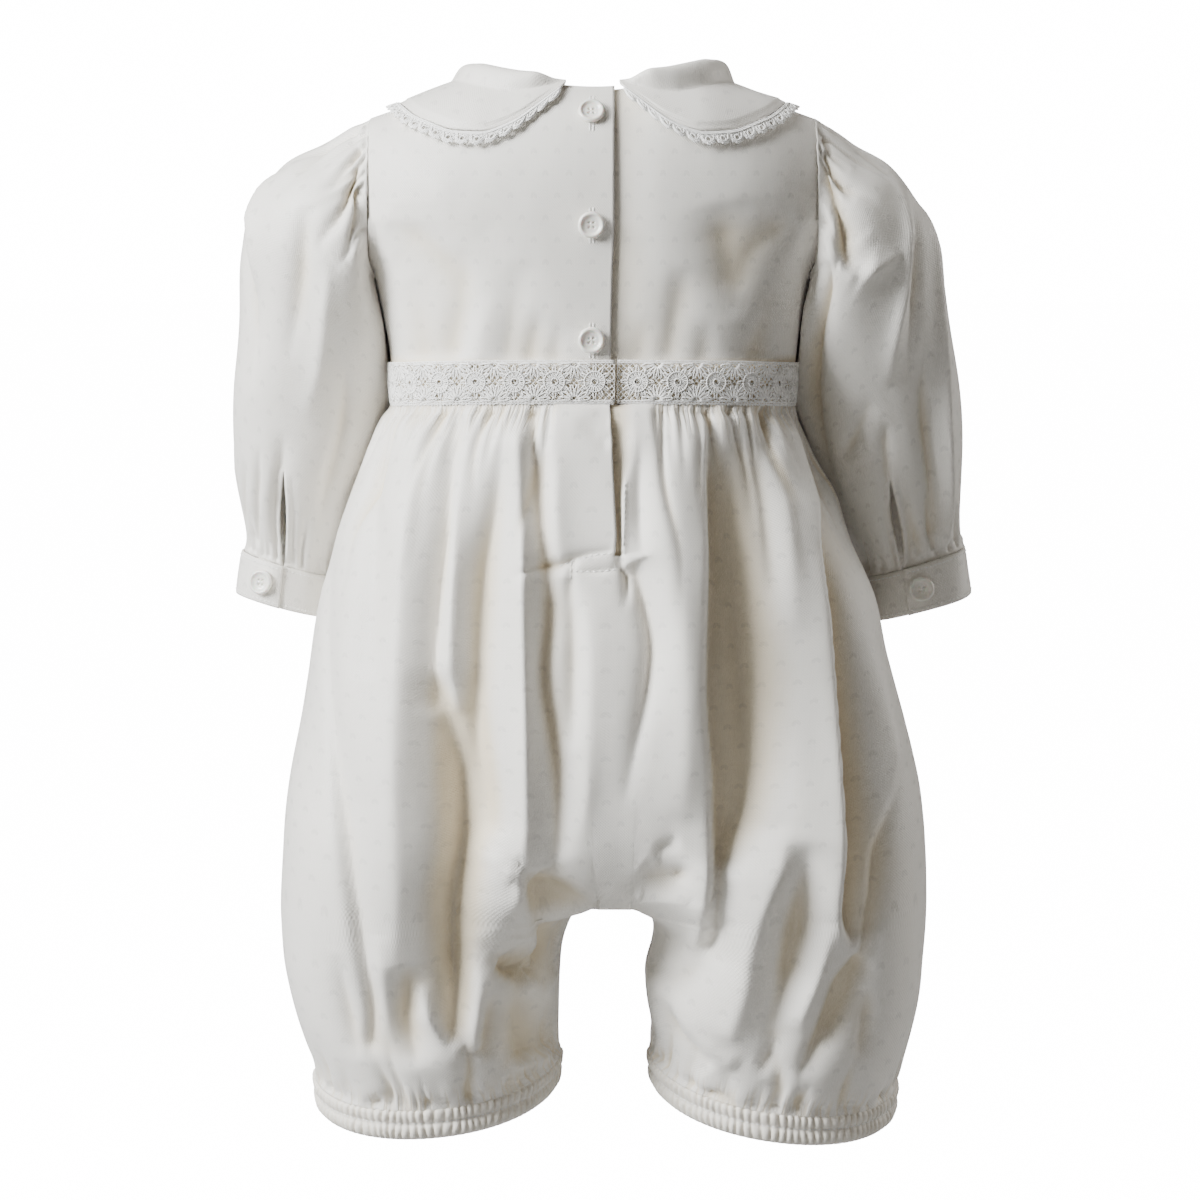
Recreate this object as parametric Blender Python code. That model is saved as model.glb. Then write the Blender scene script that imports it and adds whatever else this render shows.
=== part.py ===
"""Baby romper with a back button opening, puffed long sleeves and bubble legs.

The cloth keeps the hollow form that it has when it is worn. The side with the
buttons, which is the wearer's back, faces -Y, so the wearer's left is at -X.
The origin is the centre of the neck opening, at the height of the shoulder
seams where they meet the neck, because the garment hangs there on its wearer.

Every piece of cloth is a wall: a sheet of points worked out from the sizes
below, given its thickness towards the inside. Sizes are in millimetres and
angles in degrees. They become metres where a mesh is made.
"""

from collections import namedtuple
from math import pi, radians

import bpy
import numpy as np

MM = 0.001

# ---------------------------------------------------------------- cloth sizes
CLOTH = 1.2            # thickness of a cloth wall
TRIM = 1.0             # thickness of a lace wall
SEAM = 0.3             # gap between two pieces that are sewn together
HALF_SEAM = SEAM / 2

# ------------------------------------------------------------------- bodice
NECK_HALF = 45.0       # half width of the neck opening
NECK_BACK = 40.0       # how far the neck opening reaches towards the back
NECK_FRONT = 49.0      # and towards the front
NECK_RISE = 5.0        # how far the shoulder line would rise inside the neck
SHOULDER_SLOPE = 0.35  # drop of the shoulder seam for each step outwards
ARMHOLE_X = 93.4       # both armholes lie in planes this far from the middle
ARMHOLE_DEPTH = 34.0   # half the armhole's opening, front to back
CHEST_Z = -60.0        # height of the widest part of the armhole
ARMPIT_Z = -84.0
WAIST_Z = -138.1       # the seam between bodice and skirt, at the sides
WAIST_RISE = 3.6       # the seam rises this much to the middle of the back
CHEST_BACK = 60.0      # depth of the back at the chest
CHEST_FRONT = 58.0
SHOULDER_ROUND = 2.6   # power of the curve from the chest up to the shoulder
RING_ROUND = 2.5       # power of the torso's rings seen from above
FLAP_X = 9.0           # edge of the buttoned flap
UNDERLAP_X = -14.0     # edge of the layer below the flap
FLAP_STEP = 1.8        # how much the right back lies deeper, below the flap
FLAP_FADE = 22.0       # the step dies out this far from the flap's edge

BodiceRing = namedtuple("BodiceRing", "z half_width")
BODICE_RINGS = (
    BodiceRing(WAIST_Z, 85.2),
    BodiceRing(-122.0, 86.0),
    BodiceRing(-104.0, 88.5),
    BodiceRing(ARMPIT_Z, 93.0),
    BodiceRing(-72.0, 98.0),
    BodiceRing(CHEST_Z, 103.0),
)
RAISED_ROWS = (0.24, 0.46, 0.66, 0.83, 0.94, 1.0)

# ---------------------------------------------------------- skirt and legs
CENTRE_X = 9.0         # line of the slit, the seat and the crotch
CROTCH_Z = -352.0
SEAT_Z = -298.0        # the seat starts to turn under here
LEG_Z = -392.0         # the sections are wholly those of the legs from here
HEM_TOP_Z = -418.5     # the legs end here, and the elastic hems begin
HEM_DROOP = 8.0        # the hems hang this much lower at the back and front
LEFT_DROP = 9.0        # and this much lower at the left leg's outer side
RIGHT_DROP = 13.0
SLIT_END_Z = -196.0    # the opening runs down into the skirt to here
SLIT_OVERLAP = 7.0     # the flap covers this much of the right side
SKIRT_TOP_Z = WAIST_Z - SEAM
SEAT_ROUND = 3.0       # power of the seat's curve as it turns under
LEG_ROUND = 3.4        # power of the leg's section on its inner side
HEM_ROUND = 2.05       # power of its section at the hem, all the way round
WEB_CELLS = 2          # cells across each half of the seat's flat middle

# Each row gives its height in the middle and at the side seam, where the side
# seams lie, where the flat middle of the seat or the inseams lie, and the depth
# of the back and of the front.
SkirtRow = namedtuple(
    "SkirtRow", "z z_side left right inner_left inner_right back front"
)
SKIRT_ROWS = (
    SkirtRow(SKIRT_TOP_Z, SKIRT_TOP_Z, -85.2, 85.2, 2.0, 16.0, 60.0, 58.0),
    SkirtRow(-143.0, -143.0, -89.0, 87.0, 2.0, 16.0, 62.5, 60.5),
    SkirtRow(-152.0, -152.0, -94.3, 91.0, 2.0, 16.0, 66.0, 64.5),
    SkirtRow(-165.0, -165.0, -99.6, 96.3, 2.0, 16.0, 69.5, 68.5),
    SkirtRow(-182.0, -182.0, -106.0, 103.3, 2.0, 16.0, 73.5, 72.0),
    SkirtRow(SLIT_END_Z, SLIT_END_Z, -110.5, 110.0, 2.0, 16.0, 76.0, 74.5),
    SkirtRow(-220.0, -220.0, -116.0, 121.0, 2.0, 16.0, 79.5, 78.5),
    SkirtRow(-250.0, -246.0, -121.2, 126.5, 2.0, 16.0, 83.0, 82.0),
    SkirtRow(-280.0, -272.0, -125.6, 133.2, 2.0, 16.0, 84.5, 83.5),
    SkirtRow(-306.0, -296.0, -129.7, 139.6, 2.0, 16.0, 84.0, 83.0),
    SkirtRow(-326.0, -314.0, -132.5, 142.4, 2.0, 16.0, 82.5, 81.5),
    SkirtRow(-339.0, -328.0, -133.8, 143.7, 2.0, 16.0, 80.8, 79.8),
    SkirtRow(-347.0, -338.0, -134.4, 144.3, 2.0, 16.0, 79.4, 78.4),
    SkirtRow(-351.0, -346.0, -134.6, 144.5, 2.0, 16.0, 78.4, 77.4),
    SkirtRow(CROTCH_Z, -353.0, -134.5, 144.6, 2.0, 16.0, 77.6, 76.6),
    SkirtRow(-353.6, -360.0, -134.0, 144.3, -2.5, 20.5, 76.6, 75.6),
    SkirtRow(-357.5, -367.0, -133.4, 143.6, -7.5, 24.2, 75.4, 74.4),
    SkirtRow(-363.5, -375.0, -132.5, 142.5, -10.8, 26.0, 73.8, 72.8),
    SkirtRow(-372.0, -383.5, -130.7, 141.4, -13.3, 25.2, 72.0, 71.0),
    SkirtRow(-383.5, -393.0, -128.0, 139.6, -14.3, 22.6, 70.0, 69.0),
    SkirtRow(-395.0, -401.5, -125.0, 137.6, -14.7, 23.2, 67.5, 66.5),
    SkirtRow(-405.0, -408.5, -122.4, 135.4, -14.9, 25.0, 64.0, 63.0),
    SkirtRow(-413.0, -414.0, -120.8, 132.8, -15.1, 25.4, 60.0, 59.0),
    SkirtRow(HEM_TOP_Z, HEM_TOP_Z, -120.0, 131.0, -15.2, 25.4, 56.0, 55.0),
)

# A fold is a soft trough pressed into a panel along a line. x and z place its
# two ends as seen from the panel's own side, bow bends the line sideways at
# its middle, and a negative depth makes a ridge.
Fold = namedtuple("Fold", "x_top z_top x_low z_low bow width depth")
BACK_FOLDS = (
    Fold(-56.0, -138.0, -66.0, -286.0, 2.0, 6.0, 8.0),
    Fold(-67.0, -262.0, -58.0, -352.0, -2.0, 9.0, 8.0),
    Fold(-49.0, -168.0, -57.0, -286.0, 0.0, 5.0, -3.0),
    Fold(-26.0, -142.0, -28.0, -300.0, -2.0, 7.0, 6.5),
    Fold(-33.0, -240.0, -32.0, -330.0, 0.0, 5.0, -4.0),
    Fold(-34.0, -318.0, -22.0, -384.0, 3.0, 8.0, 9.0),
    Fold(-42.0, -372.0, -36.0, -428.0, 0.0, 9.0, 8.0),
    Fold(-82.0, -384.0, -70.0, -428.0, 3.0, 12.0, 7.0),
    Fold(-104.0, -200.0, -108.0, -320.0, 2.0, 8.0, 4.0),
    Fold(-111.0, -300.0, -100.0, -430.0, 3.0, 6.0, 4.5),
    Fold(47.0, -138.0, 50.0, -376.0, 1.0, 5.0, 9.0),
    Fold(61.0, -160.0, 65.0, -290.0, 1.0, 10.0, 6.0),
    Fold(85.0, -142.0, 108.0, -300.0, 5.0, 9.0, 8.0),
    Fold(107.0, -286.0, 112.0, -396.0, 0.0, 11.0, 9.0),
    Fold(132.0, -290.0, 98.0, -430.0, 6.0, 7.0, 5.5),
    Fold(94.0, -370.0, 74.0, -430.0, 2.0, 8.0, 6.0),
    Fold(18.0, -198.0, 20.0, -262.0, 0.0, 5.0, 4.5),
    Fold(30.0, -142.0, 34.0, -250.0, 0.0, 6.0, 4.5),
    Fold(40.0, -350.0, 46.0, -424.0, 0.0, 9.0, 6.0),
)
FRONT_FOLDS = (
    Fold(-58.0, -138.0, -68.0, -330.0, 3.0, 6.5, 8.0),
    Fold(-31.0, -138.0, -38.0, -300.0, -2.0, 6.0, 6.5),
    Fold(-4.0, -140.0, -8.0, -270.0, 2.0, 7.0, 5.0),
    Fold(24.0, -138.0, 30.0, -310.0, 2.0, 6.0, 7.0),
    Fold(52.0, -138.0, 66.0, -350.0, -3.0, 6.5, 8.0),
    Fold(82.0, -144.0, 108.0, -380.0, 6.0, 10.0, 8.0),
    Fold(-88.0, -148.0, -108.0, -360.0, -4.0, 9.0, 7.0),
    Fold(-34.0, -328.0, -24.0, -392.0, -3.0, 8.0, 8.0),
    Fold(54.0, -326.0, 40.0, -392.0, 3.0, 8.0, 8.0),
    Fold(-86.0, -380.0, -74.0, -430.0, 3.0, 11.0, 7.0),
    Fold(96.0, -378.0, 82.0, -430.0, 2.0, 11.0, 7.0),
)
EDGE_FADE = 10.0       # folds die out this near the waist seam and the hems
GATHER_HEIGHT = 2.6    # how far a waist gather stands out
GATHER_LENGTH = 42.0   # and how far down it runs
BACK_COLUMNS = (24, 22)    # cells from each side seam to the middle
FRONT_COLUMNS = (18, 18)
OUTER_SHARE = 0.56     # share of the cells from the side to the leg's middle
BACK_FLAT_CELLS = (5, 2)   # the cells beside the slit, which have no gathers

# ---------------------------------------------------------------- hem bands
HEM_HEIGHT = 13.3
HEM_STITCH = 0.5       # the stitch line's place, as a share of the height
HEM_GATHERS = 30
HEM_RIPPLE = 1.6

# ------------------------------------------------------------------ sleeves
# Each row is a section of the sleeve: where its outer and inner edges lie,
# its half depth, how far its middle lies to the front, and how far down the
# section its widest place is.
SleeveRow = namedtuple(
    "SleeveRow", "outer_x outer_z inner_x inner_z half_depth forward widest"
)
LEFT_SLEEVE = (
    SleeveRow(-102.0, -21.0, -94.6, -88.0, 40.0, 1.0, 0.62),
    SleeveRow(-113.5, -28.0, -93.6, -97.0, 44.5, 3.5, 0.58),
    SleeveRow(-131.0, -36.5, -92.0, -107.0, 47.0, 7.0, 0.55),
    SleeveRow(-144.0, -52.5, -91.3, -119.0, 47.0, 11.5, 0.53),
    SleeveRow(-150.2, -73.0, -91.5, -133.0, 45.0, 17.0, 0.50),
    SleeveRow(-152.8, -99.0, -95.5, -149.5, 42.0, 23.0, 0.50),
    SleeveRow(-156.2, -127.0, -101.0, -166.0, 38.5, 29.0, 0.50),
    SleeveRow(-157.5, -153.0, -105.5, -181.0, 35.0, 34.0, 0.50),
    SleeveRow(-157.3, -172.0, -108.5, -194.0, 31.5, 38.0, 0.50),
    SleeveRow(-155.7, -186.0, -111.5, -204.0, 28.0, 41.0, 0.50),
    SleeveRow(-154.4, -196.0, -113.0, -210.5, 25.5, 43.0, 0.50),
    SleeveRow(-153.9, -203.8, -113.5, -215.2, 23.2, 44.0, 0.50),
)
RIGHT_SLEEVE = (
    SleeveRow(101.5, -21.0, 94.6, -88.0, 40.0, 1.0, 0.62),
    SleeveRow(112.0, -28.5, 93.6, -97.0, 44.5, 3.5, 0.58),
    SleeveRow(127.0, -37.2, 92.0, -107.0, 47.0, 7.0, 0.55),
    SleeveRow(138.6, -52.5, 91.5, -119.0, 47.0, 11.5, 0.53),
    SleeveRow(147.2, -73.0, 93.0, -133.0, 45.0, 17.0, 0.50),
    SleeveRow(153.0, -98.5, 97.0, -148.5, 42.0, 23.0, 0.50),
    SleeveRow(158.0, -127.0, 102.5, -165.5, 38.5, 29.0, 0.50),
    SleeveRow(161.0, -153.0, 107.5, -181.5, 35.0, 34.0, 0.50),
    SleeveRow(161.9, -172.0, 111.0, -194.5, 31.5, 38.0, 0.50),
    SleeveRow(162.3, -186.0, 114.5, -205.0, 28.0, 41.0, 0.50),
    SleeveRow(162.8, -196.0, 116.5, -211.5, 25.5, 43.0, 0.50),
    SleeveRow(163.8, -202.2, 117.5, -216.0, 23.2, 44.0, 0.50),
)
SLEEVE_CELLS = 28
WRIST_ROUND = 0.9      # power of the ovals of the sleeves and the cuffs
SLIT_SECTIONS = (8, 11)    # the sleeve's slit opens between these sections
SLIT_WIDTH = 6.0       # width of the slit at its middle
HEAD_RIPPLE = 2.2
# A sleeve fold runs from one section and angle to another. Angle 0 is the
# outer edge and 90 faces the wearer's back.
SleeveFold = namedtuple("SleeveFold", "row_top angle_top row_low angle_low width depth")
LEFT_SLEEVE_FOLDS = (
    SleeveFold(0.4, 60.0, 4.5, 96.0, 15.0, 6.0),
    SleeveFold(1.0, 24.0, 4.0, 40.0, 13.0, 3.5),
    SleeveFold(5.5, 84.0, 9.5, 62.0, 14.0, 3.5),
    SleeveFold(2.0, 290.0, 7.0, 262.0, 16.0, 5.0),
    SleeveFold(6.0, 300.0, 10.5, 285.0, 14.0, 3.5),
)
RIGHT_SLEEVE_FOLDS = (
    SleeveFold(0.5, 70.0, 4.0, 104.0, 14.0, 6.5),
    SleeveFold(0.5, 40.0, 5.5, 52.0, 13.0, 5.0),
    SleeveFold(4.0, 24.0, 10.0, 42.0, 11.0, 4.0),
    SleeveFold(3.0, 128.0, 9.0, 112.0, 14.0, 5.0),
    SleeveFold(2.0, 286.0, 7.5, 255.0, 16.0, 5.0),
    SleeveFold(6.0, 310.0, 10.5, 292.0, 14.0, 3.5),
)

# -------------------------------------------------------------------- cuffs
# The corners of each cuff as (x, z), then the angles of its buttoned end and of
# its button round the wrist.
CuffSize = namedtuple(
    "CuffSize", "top_outer top_inner low_outer low_inner opening_angle button_angle"
)
LEFT_CUFF = CuffSize((-154.2, -204.2), (-113.2, -215.6),
                     (-157.2, -222.6), (-114.0, -234.2), 88.0, 68.0)
RIGHT_CUFF = CuffSize((164.1, -202.6), (117.2, -216.4),
                      (167.2, -223.3), (120.0, -235.8), 102.0, 89.0)
CUFF_HALF_DEPTH = 23.6
CUFF_FORWARD = 44.0
CUFF_CELLS = 22
CUFF_OVERLAP = 34.0    # degrees that the buttoned end lies over the other
CUFF_LIFT = 1.7        # how much further out the buttoned end lies

# ------------------------------------------------------------------- collar
# The collar lies on the shoulders. Angle 0 is the middle of the back, and
# width is how far the cloth reaches from the neckline there.
CollarRow = namedtuple("CollarRow", "angle width")
COLLAR_ROWS = (
    CollarRow(14.0, 3.0),
    CollarRow(20.0, 12.0),
    CollarRow(28.0, 25.0),
    CollarRow(37.0, 35.0),
    CollarRow(48.0, 40.0),
    CollarRow(63.0, 41.0),
    CollarRow(80.0, 39.0),
    CollarRow(100.0, 38.0),
    CollarRow(120.0, 38.0),
    CollarRow(138.0, 37.0),
    CollarRow(152.0, 32.0),
    CollarRow(163.0, 22.0),
    CollarRow(170.0, 11.0),
    CollarRow(175.0, 3.0),
)
COLLAR_CELLS = 22
COLLAR_SHARES = (0.0, 0.09, 0.24, 0.60, 1.0)
COLLAR_LIFT = 2.7      # the collar's outer face lies this far off the bodice
LEFT_ROLL = 4.6        # and its roll at the neck rises this much more
RIGHT_ROLL = 6.6
LACE_WIDTH = 5.5       # the edging on the collar
LACE_WAVES = 20        # scallops on each half
LACE_RIPPLE = 0.8

# ------------------------------------------------------------- waist lace
BAND_TOP_Z = -119.6
BAND_LOW_Z = -138.0
BAND_CELLS = 52

# ------------------------------------------------------------------ buttons
BUTTON_HEIGHTS = (-16.0, -61.5, -108.5)
BUTTON_X = -0.5
BUTTON_SIDES = 12
BUTTON_SEAT = 0.65     # a button's underside lies this far off the cloth's sheet
# The button's outline, from its middle to its rim and back underneath.
ButtonPoint = namedtuple("ButtonPoint", "radius height")
BUTTON_OUTLINE = (
    ButtonPoint(3.3, 1.2),
    ButtonPoint(4.0, 2.0),
    ButtonPoint(4.9, 2.0),
    ButtonPoint(5.5, 1.2),
    ButtonPoint(4.8, 0.0),
)


# ================================================================= the maths
def smoothstep(low, high, value):
    """0 below low, 1 above high and a smooth S between them."""
    share = np.clip((value - low) / (high - low), 0.0, 1.0)
    return share * share * (3.0 - 2.0 * share)


def column(rows, name):
    """One named column of a table, as an array."""
    return np.array([getattr(row, name) for row in rows], float)


def powered(value, power):
    """The size of value raised to a power, with its sign kept."""
    return np.sign(value) * np.abs(value) ** power


def arch(share, power):
    """The height of a superellipse of size 1 at a share of its half width."""
    return (1.0 - np.clip(np.abs(share), 0.0, 1.0) ** power) ** (1.0 / power)


def waist_lift(y, z):
    """How much the cloth near the waist seam is raised, front and back."""
    above = 1.0 - smoothstep(-128.0, ARMPIT_Z, z)
    below = smoothstep(-205.0, -146.0, z)
    near = np.where(z > WAIST_Z, above, below)
    return WAIST_RISE * near * (np.abs(y) / CHEST_BACK) ** 1.5


def shoulder_height(x):
    """Height of the shoulder line: level at the middle, then an even slope."""
    away = np.abs(x)
    inside = NECK_RISE * (1.0 - (away / NECK_HALF) ** 2)
    return np.where(away < NECK_HALF, inside, -SHOULDER_SLOPE * (away - NECK_HALF))


def chest_depth(x, depth):
    """How far the chest's ring lies from the middle plane at x."""
    return depth * arch(x / BODICE_RINGS[-1].half_width, RING_ROUND)


def shoulder_surface(x, y):
    """Height of the bodice above a point of the plan; the back is at -y."""
    depth = chest_depth(x, np.where(y < 0, CHEST_BACK, CHEST_FRONT))
    rise = arch(y / np.maximum(depth, 1e-6), SHOULDER_ROUND)
    return CHEST_Z + rise * (shoulder_height(x) - CHEST_Z)


def indexed_faces(index):
    """Quads of a grid whose points have these indices."""
    corners = (index[:-1, :-1], index[:-1, 1:], index[1:, 1:], index[1:, :-1])
    return np.stack(corners, axis=-1).reshape(-1, 4)


def grid_faces(rows, columns, closed=False):
    """Quads of a grid, as indices into its points taken row by row."""
    index = np.arange(rows * columns).reshape(rows, columns)
    return indexed_faces(np.hstack([index, index[:, :1]]) if closed else index)


def sheet_normals(points, faces):
    """The mean direction of the faces around each point, of length 1."""
    corner = points[faces]
    across = np.cross(corner[:, 2] - corner[:, 0], corner[:, 3] - corner[:, 1])
    normals = np.zeros_like(points)
    for k in range(4):
        np.add.at(normals, faces[:, k], across)
    return normals / np.linalg.norm(normals, axis=1, keepdims=True)


def flattened(normals, where, axis):
    """Normals at a seam turned to lie across it, so both walls end alike."""
    normals = normals.copy()
    normals[where, axis] = 0.0
    return normals / np.linalg.norm(normals, axis=1, keepdims=True)


def facing_out(points, faces, outwards):
    """The faces, turned over if they face against this direction on the whole."""
    return faces if np.sum(sheet_normals(points, faces) * outwards) > 0 else faces[:, ::-1]


def fold_trough(x, z, fold):
    """Depth of one fold at (x, z): a bell across its line, faded at its ends."""
    start = np.array([fold.x_top, fold.z_top])
    line = np.array([fold.x_low, fold.z_low]) - start
    length = np.linalg.norm(line)
    along = ((x - start[0]) * line[0] + (z - start[1]) * line[1]) / length ** 2
    aside = ((x - start[0]) * -line[1] + (z - start[1]) * line[0]) / length
    bent = aside - fold.bow * 4.0 * along * (1.0 - along)
    ends = smoothstep(-0.06, 0.14, along) * (1.0 - smoothstep(0.80, 1.06, along))
    return fold.depth * ends * np.exp(-((bent / fold.width) ** 2))


# ============================================================ making objects
def cloth_material(name, colour, roughness):
    material = bpy.data.materials.new(name)
    material.use_nodes = True
    shader = material.node_tree.nodes["Principled BSDF"]
    shader.inputs["Base Color"].default_value = (*colour, 1.0)
    shader.inputs["Roughness"].default_value = roughness
    shader.inputs["Metallic"].default_value = 0.0
    return material


COTTON = cloth_material("ivory_cotton", (0.86, 0.85, 0.81), 0.62)
LACE = cloth_material("ivory_lace", (0.90, 0.89, 0.86), 0.80)
RESIN = cloth_material("pearl_button", (0.89, 0.87, 0.80), 0.28)


def add_object(name, points, faces, material):
    mesh = bpy.data.meshes.new(name)
    mesh.from_pydata((np.asarray(points) * MM).tolist(), [], faces)
    mesh.materials.append(material)
    mesh.shade_smooth()
    mesh.set_sharp_from_angle(angle=radians(50))
    obj = bpy.data.objects.new(name, mesh)
    bpy.context.scene.collection.objects.link(obj)
    return obj


def open_edges(faces):
    """The edges that only one face uses, in the direction that it uses them."""
    starts = faces.reshape(-1).tolist()
    ends = np.roll(faces, -1, axis=1).reshape(-1).tolist()
    used = set(zip(starts, ends))
    return [(a, b) for a, b in zip(starts, ends) if (b, a) not in used]


def cloth_wall(name, points, faces, normals, material=COTTON, thickness=CLOTH):
    """A closed wall: the sheet, the same sheet moved in by the thickness, and
    a strip of faces along every open edge."""
    count = len(points)
    made = faces.tolist()
    made += (faces[:, ::-1] + count).tolist()
    made += [[b, a, a + count, b + count] for a, b in open_edges(faces)]
    inner = points - normals * thickness
    return add_object(name, np.vstack([points, inner]), made, material)


def only_used(points, faces):
    """The points that the faces use, the faces renumbered, and each point's
    old number."""
    used, renumbered = np.unique(faces, return_inverse=True)
    return points[used], renumbered.reshape(faces.shape), used


# ==================================================================== bodice
def bodice_stations():
    """Distances from the middle of the columns, with one at the neck point."""
    half_width = BODICE_RINGS[-1].half_width
    inside = NECK_HALF * np.sin(np.linspace(0.0, pi / 2, 5))
    ends = [np.arccos((x / half_width) ** (RING_ROUND / 2))
            for x in (NECK_HALF, ARMHOLE_X)]
    turns = np.linspace(ends[0], ends[1], 5)[1:]
    return np.concatenate([inside, half_width * np.cos(turns) ** (2 / RING_ROUND)])


def bodice_sheet(x_stations, side):
    """The bodice's sheet on one side: rings from the waist up to the chest,
    then columns that curve up to the shoulder seam or the neckline."""
    depth = CHEST_BACK if side < 0 else CHEST_FRONT
    neck = NECK_BACK if side < 0 else NECK_FRONT
    power = 2 / RING_ROUND
    away = np.abs(x_stations)
    turn = np.arcsin((away / BODICE_RINGS[-1].half_width) ** (1 / power))
    edge_turn = turn.max()
    rows = []
    for ring in BODICE_RINGS:
        edge = pi / 2
        if ring.z > ARMPIT_Z:
            up = (CHEST_Z - ring.z) / (CHEST_Z - ARMPIT_Z)
            edge_y = ARMHOLE_DEPTH * np.sqrt(1 - up ** 2)
            edge = np.arccos((edge_y / depth) ** (1 / power))
        spun = turn * (1.0 + (edge / edge_turn - 1.0) * (turn / edge_turn) ** 2)
        x = np.sign(x_stations) * ring.half_width * np.sin(spun) ** power
        y = side * depth * np.clip(np.cos(spun), 0, 1) ** power
        if ring.z > ARMPIT_Z:
            at_edge = np.isclose(turn, edge_turn)
            x = np.where(at_edge, np.sign(x_stations) * ARMHOLE_X, x)
        rows.append(np.stack([x, y, ring.z + waist_lift(y, ring.z)], axis=1))
    neck_y = neck * np.sqrt(np.clip(1 - (away / NECK_HALF) ** 2, 0, 1))
    column_depth = chest_depth(x_stations, depth)
    top = arch(neck_y / column_depth, SHOULDER_ROUND)
    for share in RAISED_ROWS:
        rise = top * np.sin(share * pi / 2)
        y = side * column_depth * arch(rise, SHOULDER_ROUND)
        z = CHEST_Z + rise * (shoulder_height(x_stations) - CHEST_Z)
        rows.append(np.stack([x_stations, y, z], axis=1))
    sheet = np.array(rows)
    sheet[..., 1] = side * np.maximum(side * sheet[..., 1], HALF_SEAM)
    return sheet


def bodice_panel(name, x_stations, side, sink=None):
    """One panel of the bodice; sink moves the layer below the flap inwards."""
    sheet = bodice_sheet(x_stations, side)
    rows, columns = sheet.shape[:2]
    points = sheet.reshape(-1, 3)
    faces = facing_out(points, grid_faces(rows, columns), [0, side, 0.2])
    normals = sheet_normals(points, faces)
    normals = flattened(normals, np.abs(points[:, 1]) < HALF_SEAM + 0.01, 1)
    normals = flattened(normals, np.arange(len(points)) < columns, 2)
    if sink is not None:
        points = points - normals * sink(points)[:, None]
    cloth_wall(name, points, faces, normals)


def flap_sink(points):
    """The right back lies below the flap, and comes up level further out."""
    return FLAP_STEP * (1 - smoothstep(FLAP_X, FLAP_X + FLAP_FADE, points[:, 0]))


def make_bodice():
    away = bodice_stations()
    left = np.concatenate([-away[::-1], [FLAP_X]])
    right = np.concatenate([[UNDERLAP_X, -4.0, FLAP_X - 2.0], away[1:]])
    both = np.concatenate([-away[:0:-1], away])
    bodice_panel("back_bodice_left", left, -1)
    bodice_panel("back_bodice_right", right, -1, flap_sink)
    bodice_panel("front_bodice", both, 1)


# ============================================================= skirt and legs
def even_turns(count):
    """Shares from 0 to 1 that space a rounded section's points evenly."""
    share = np.linspace(0.0, 1.0, count + 1)
    return share - 0.4 * np.sin(2 * pi * share) / (2 * pi)


def torso_section(outer, inner, middle, depth, cells):
    """Rings from the side seam to the middle, round the torso's own middle."""
    power = 2 / RING_ROUND
    end = np.clip((inner - middle) / (outer - middle), -1, 1)
    end_turn = np.arccos(powered(end, 1 / power))
    turn = end_turn * even_turns(cells)
    x = middle + (outer - middle) * powered(np.cos(turn), power)
    return x, depth * np.clip(np.sin(turn), 0, 1) ** power


def leg_section(outer, inner, ridge, depth, web, hang, cells):
    """Sections of a leg: a round outer side up to its ridge line, then a
    squarer inner side, and above the crotch the seat's flat middle."""
    outer_cells = round(cells * OUTER_SHARE)
    inner_cells = cells - outer_cells - WEB_CELLS
    turn = even_turns(outer_cells)[None, :-1] * pi / 2
    power = 2 / (RING_ROUND + (HEM_ROUND - RING_ROUND) * hang)
    outer_x = ridge + (outer - ridge) * np.cos(turn) ** power
    outer_y = depth * np.sin(turn) ** power
    power = 2 / (LEG_ROUND + (HEM_ROUND - LEG_ROUND) * hang)
    turn = np.linspace(0, 1, inner_cells + 1)[None, :] ** (1 / power) * pi / 2
    inner_x = ridge + (inner - ridge) * np.sin(turn) ** power
    inner_y = web + (depth - web) * np.clip(np.cos(turn), 0, 1) ** power
    web_x = inner + (CENTRE_X - inner) * np.linspace(0, 1, WEB_CELLS + 1)[None, 1:]
    x = np.hstack([outer_x, inner_x, web_x])
    return x, np.hstack([outer_y, inner_y, web + 0 * web_x])


def hem_drop(x, y, outer, inner, drop):
    """How much lower than its inner side a leg hangs at (x, y)."""
    across = np.clip((x - inner) / (outer - inner), 0.0, 1.0)
    return drop * across + HEM_DROOP * np.abs(y) / SKIRT_ROWS[-1].back


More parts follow.
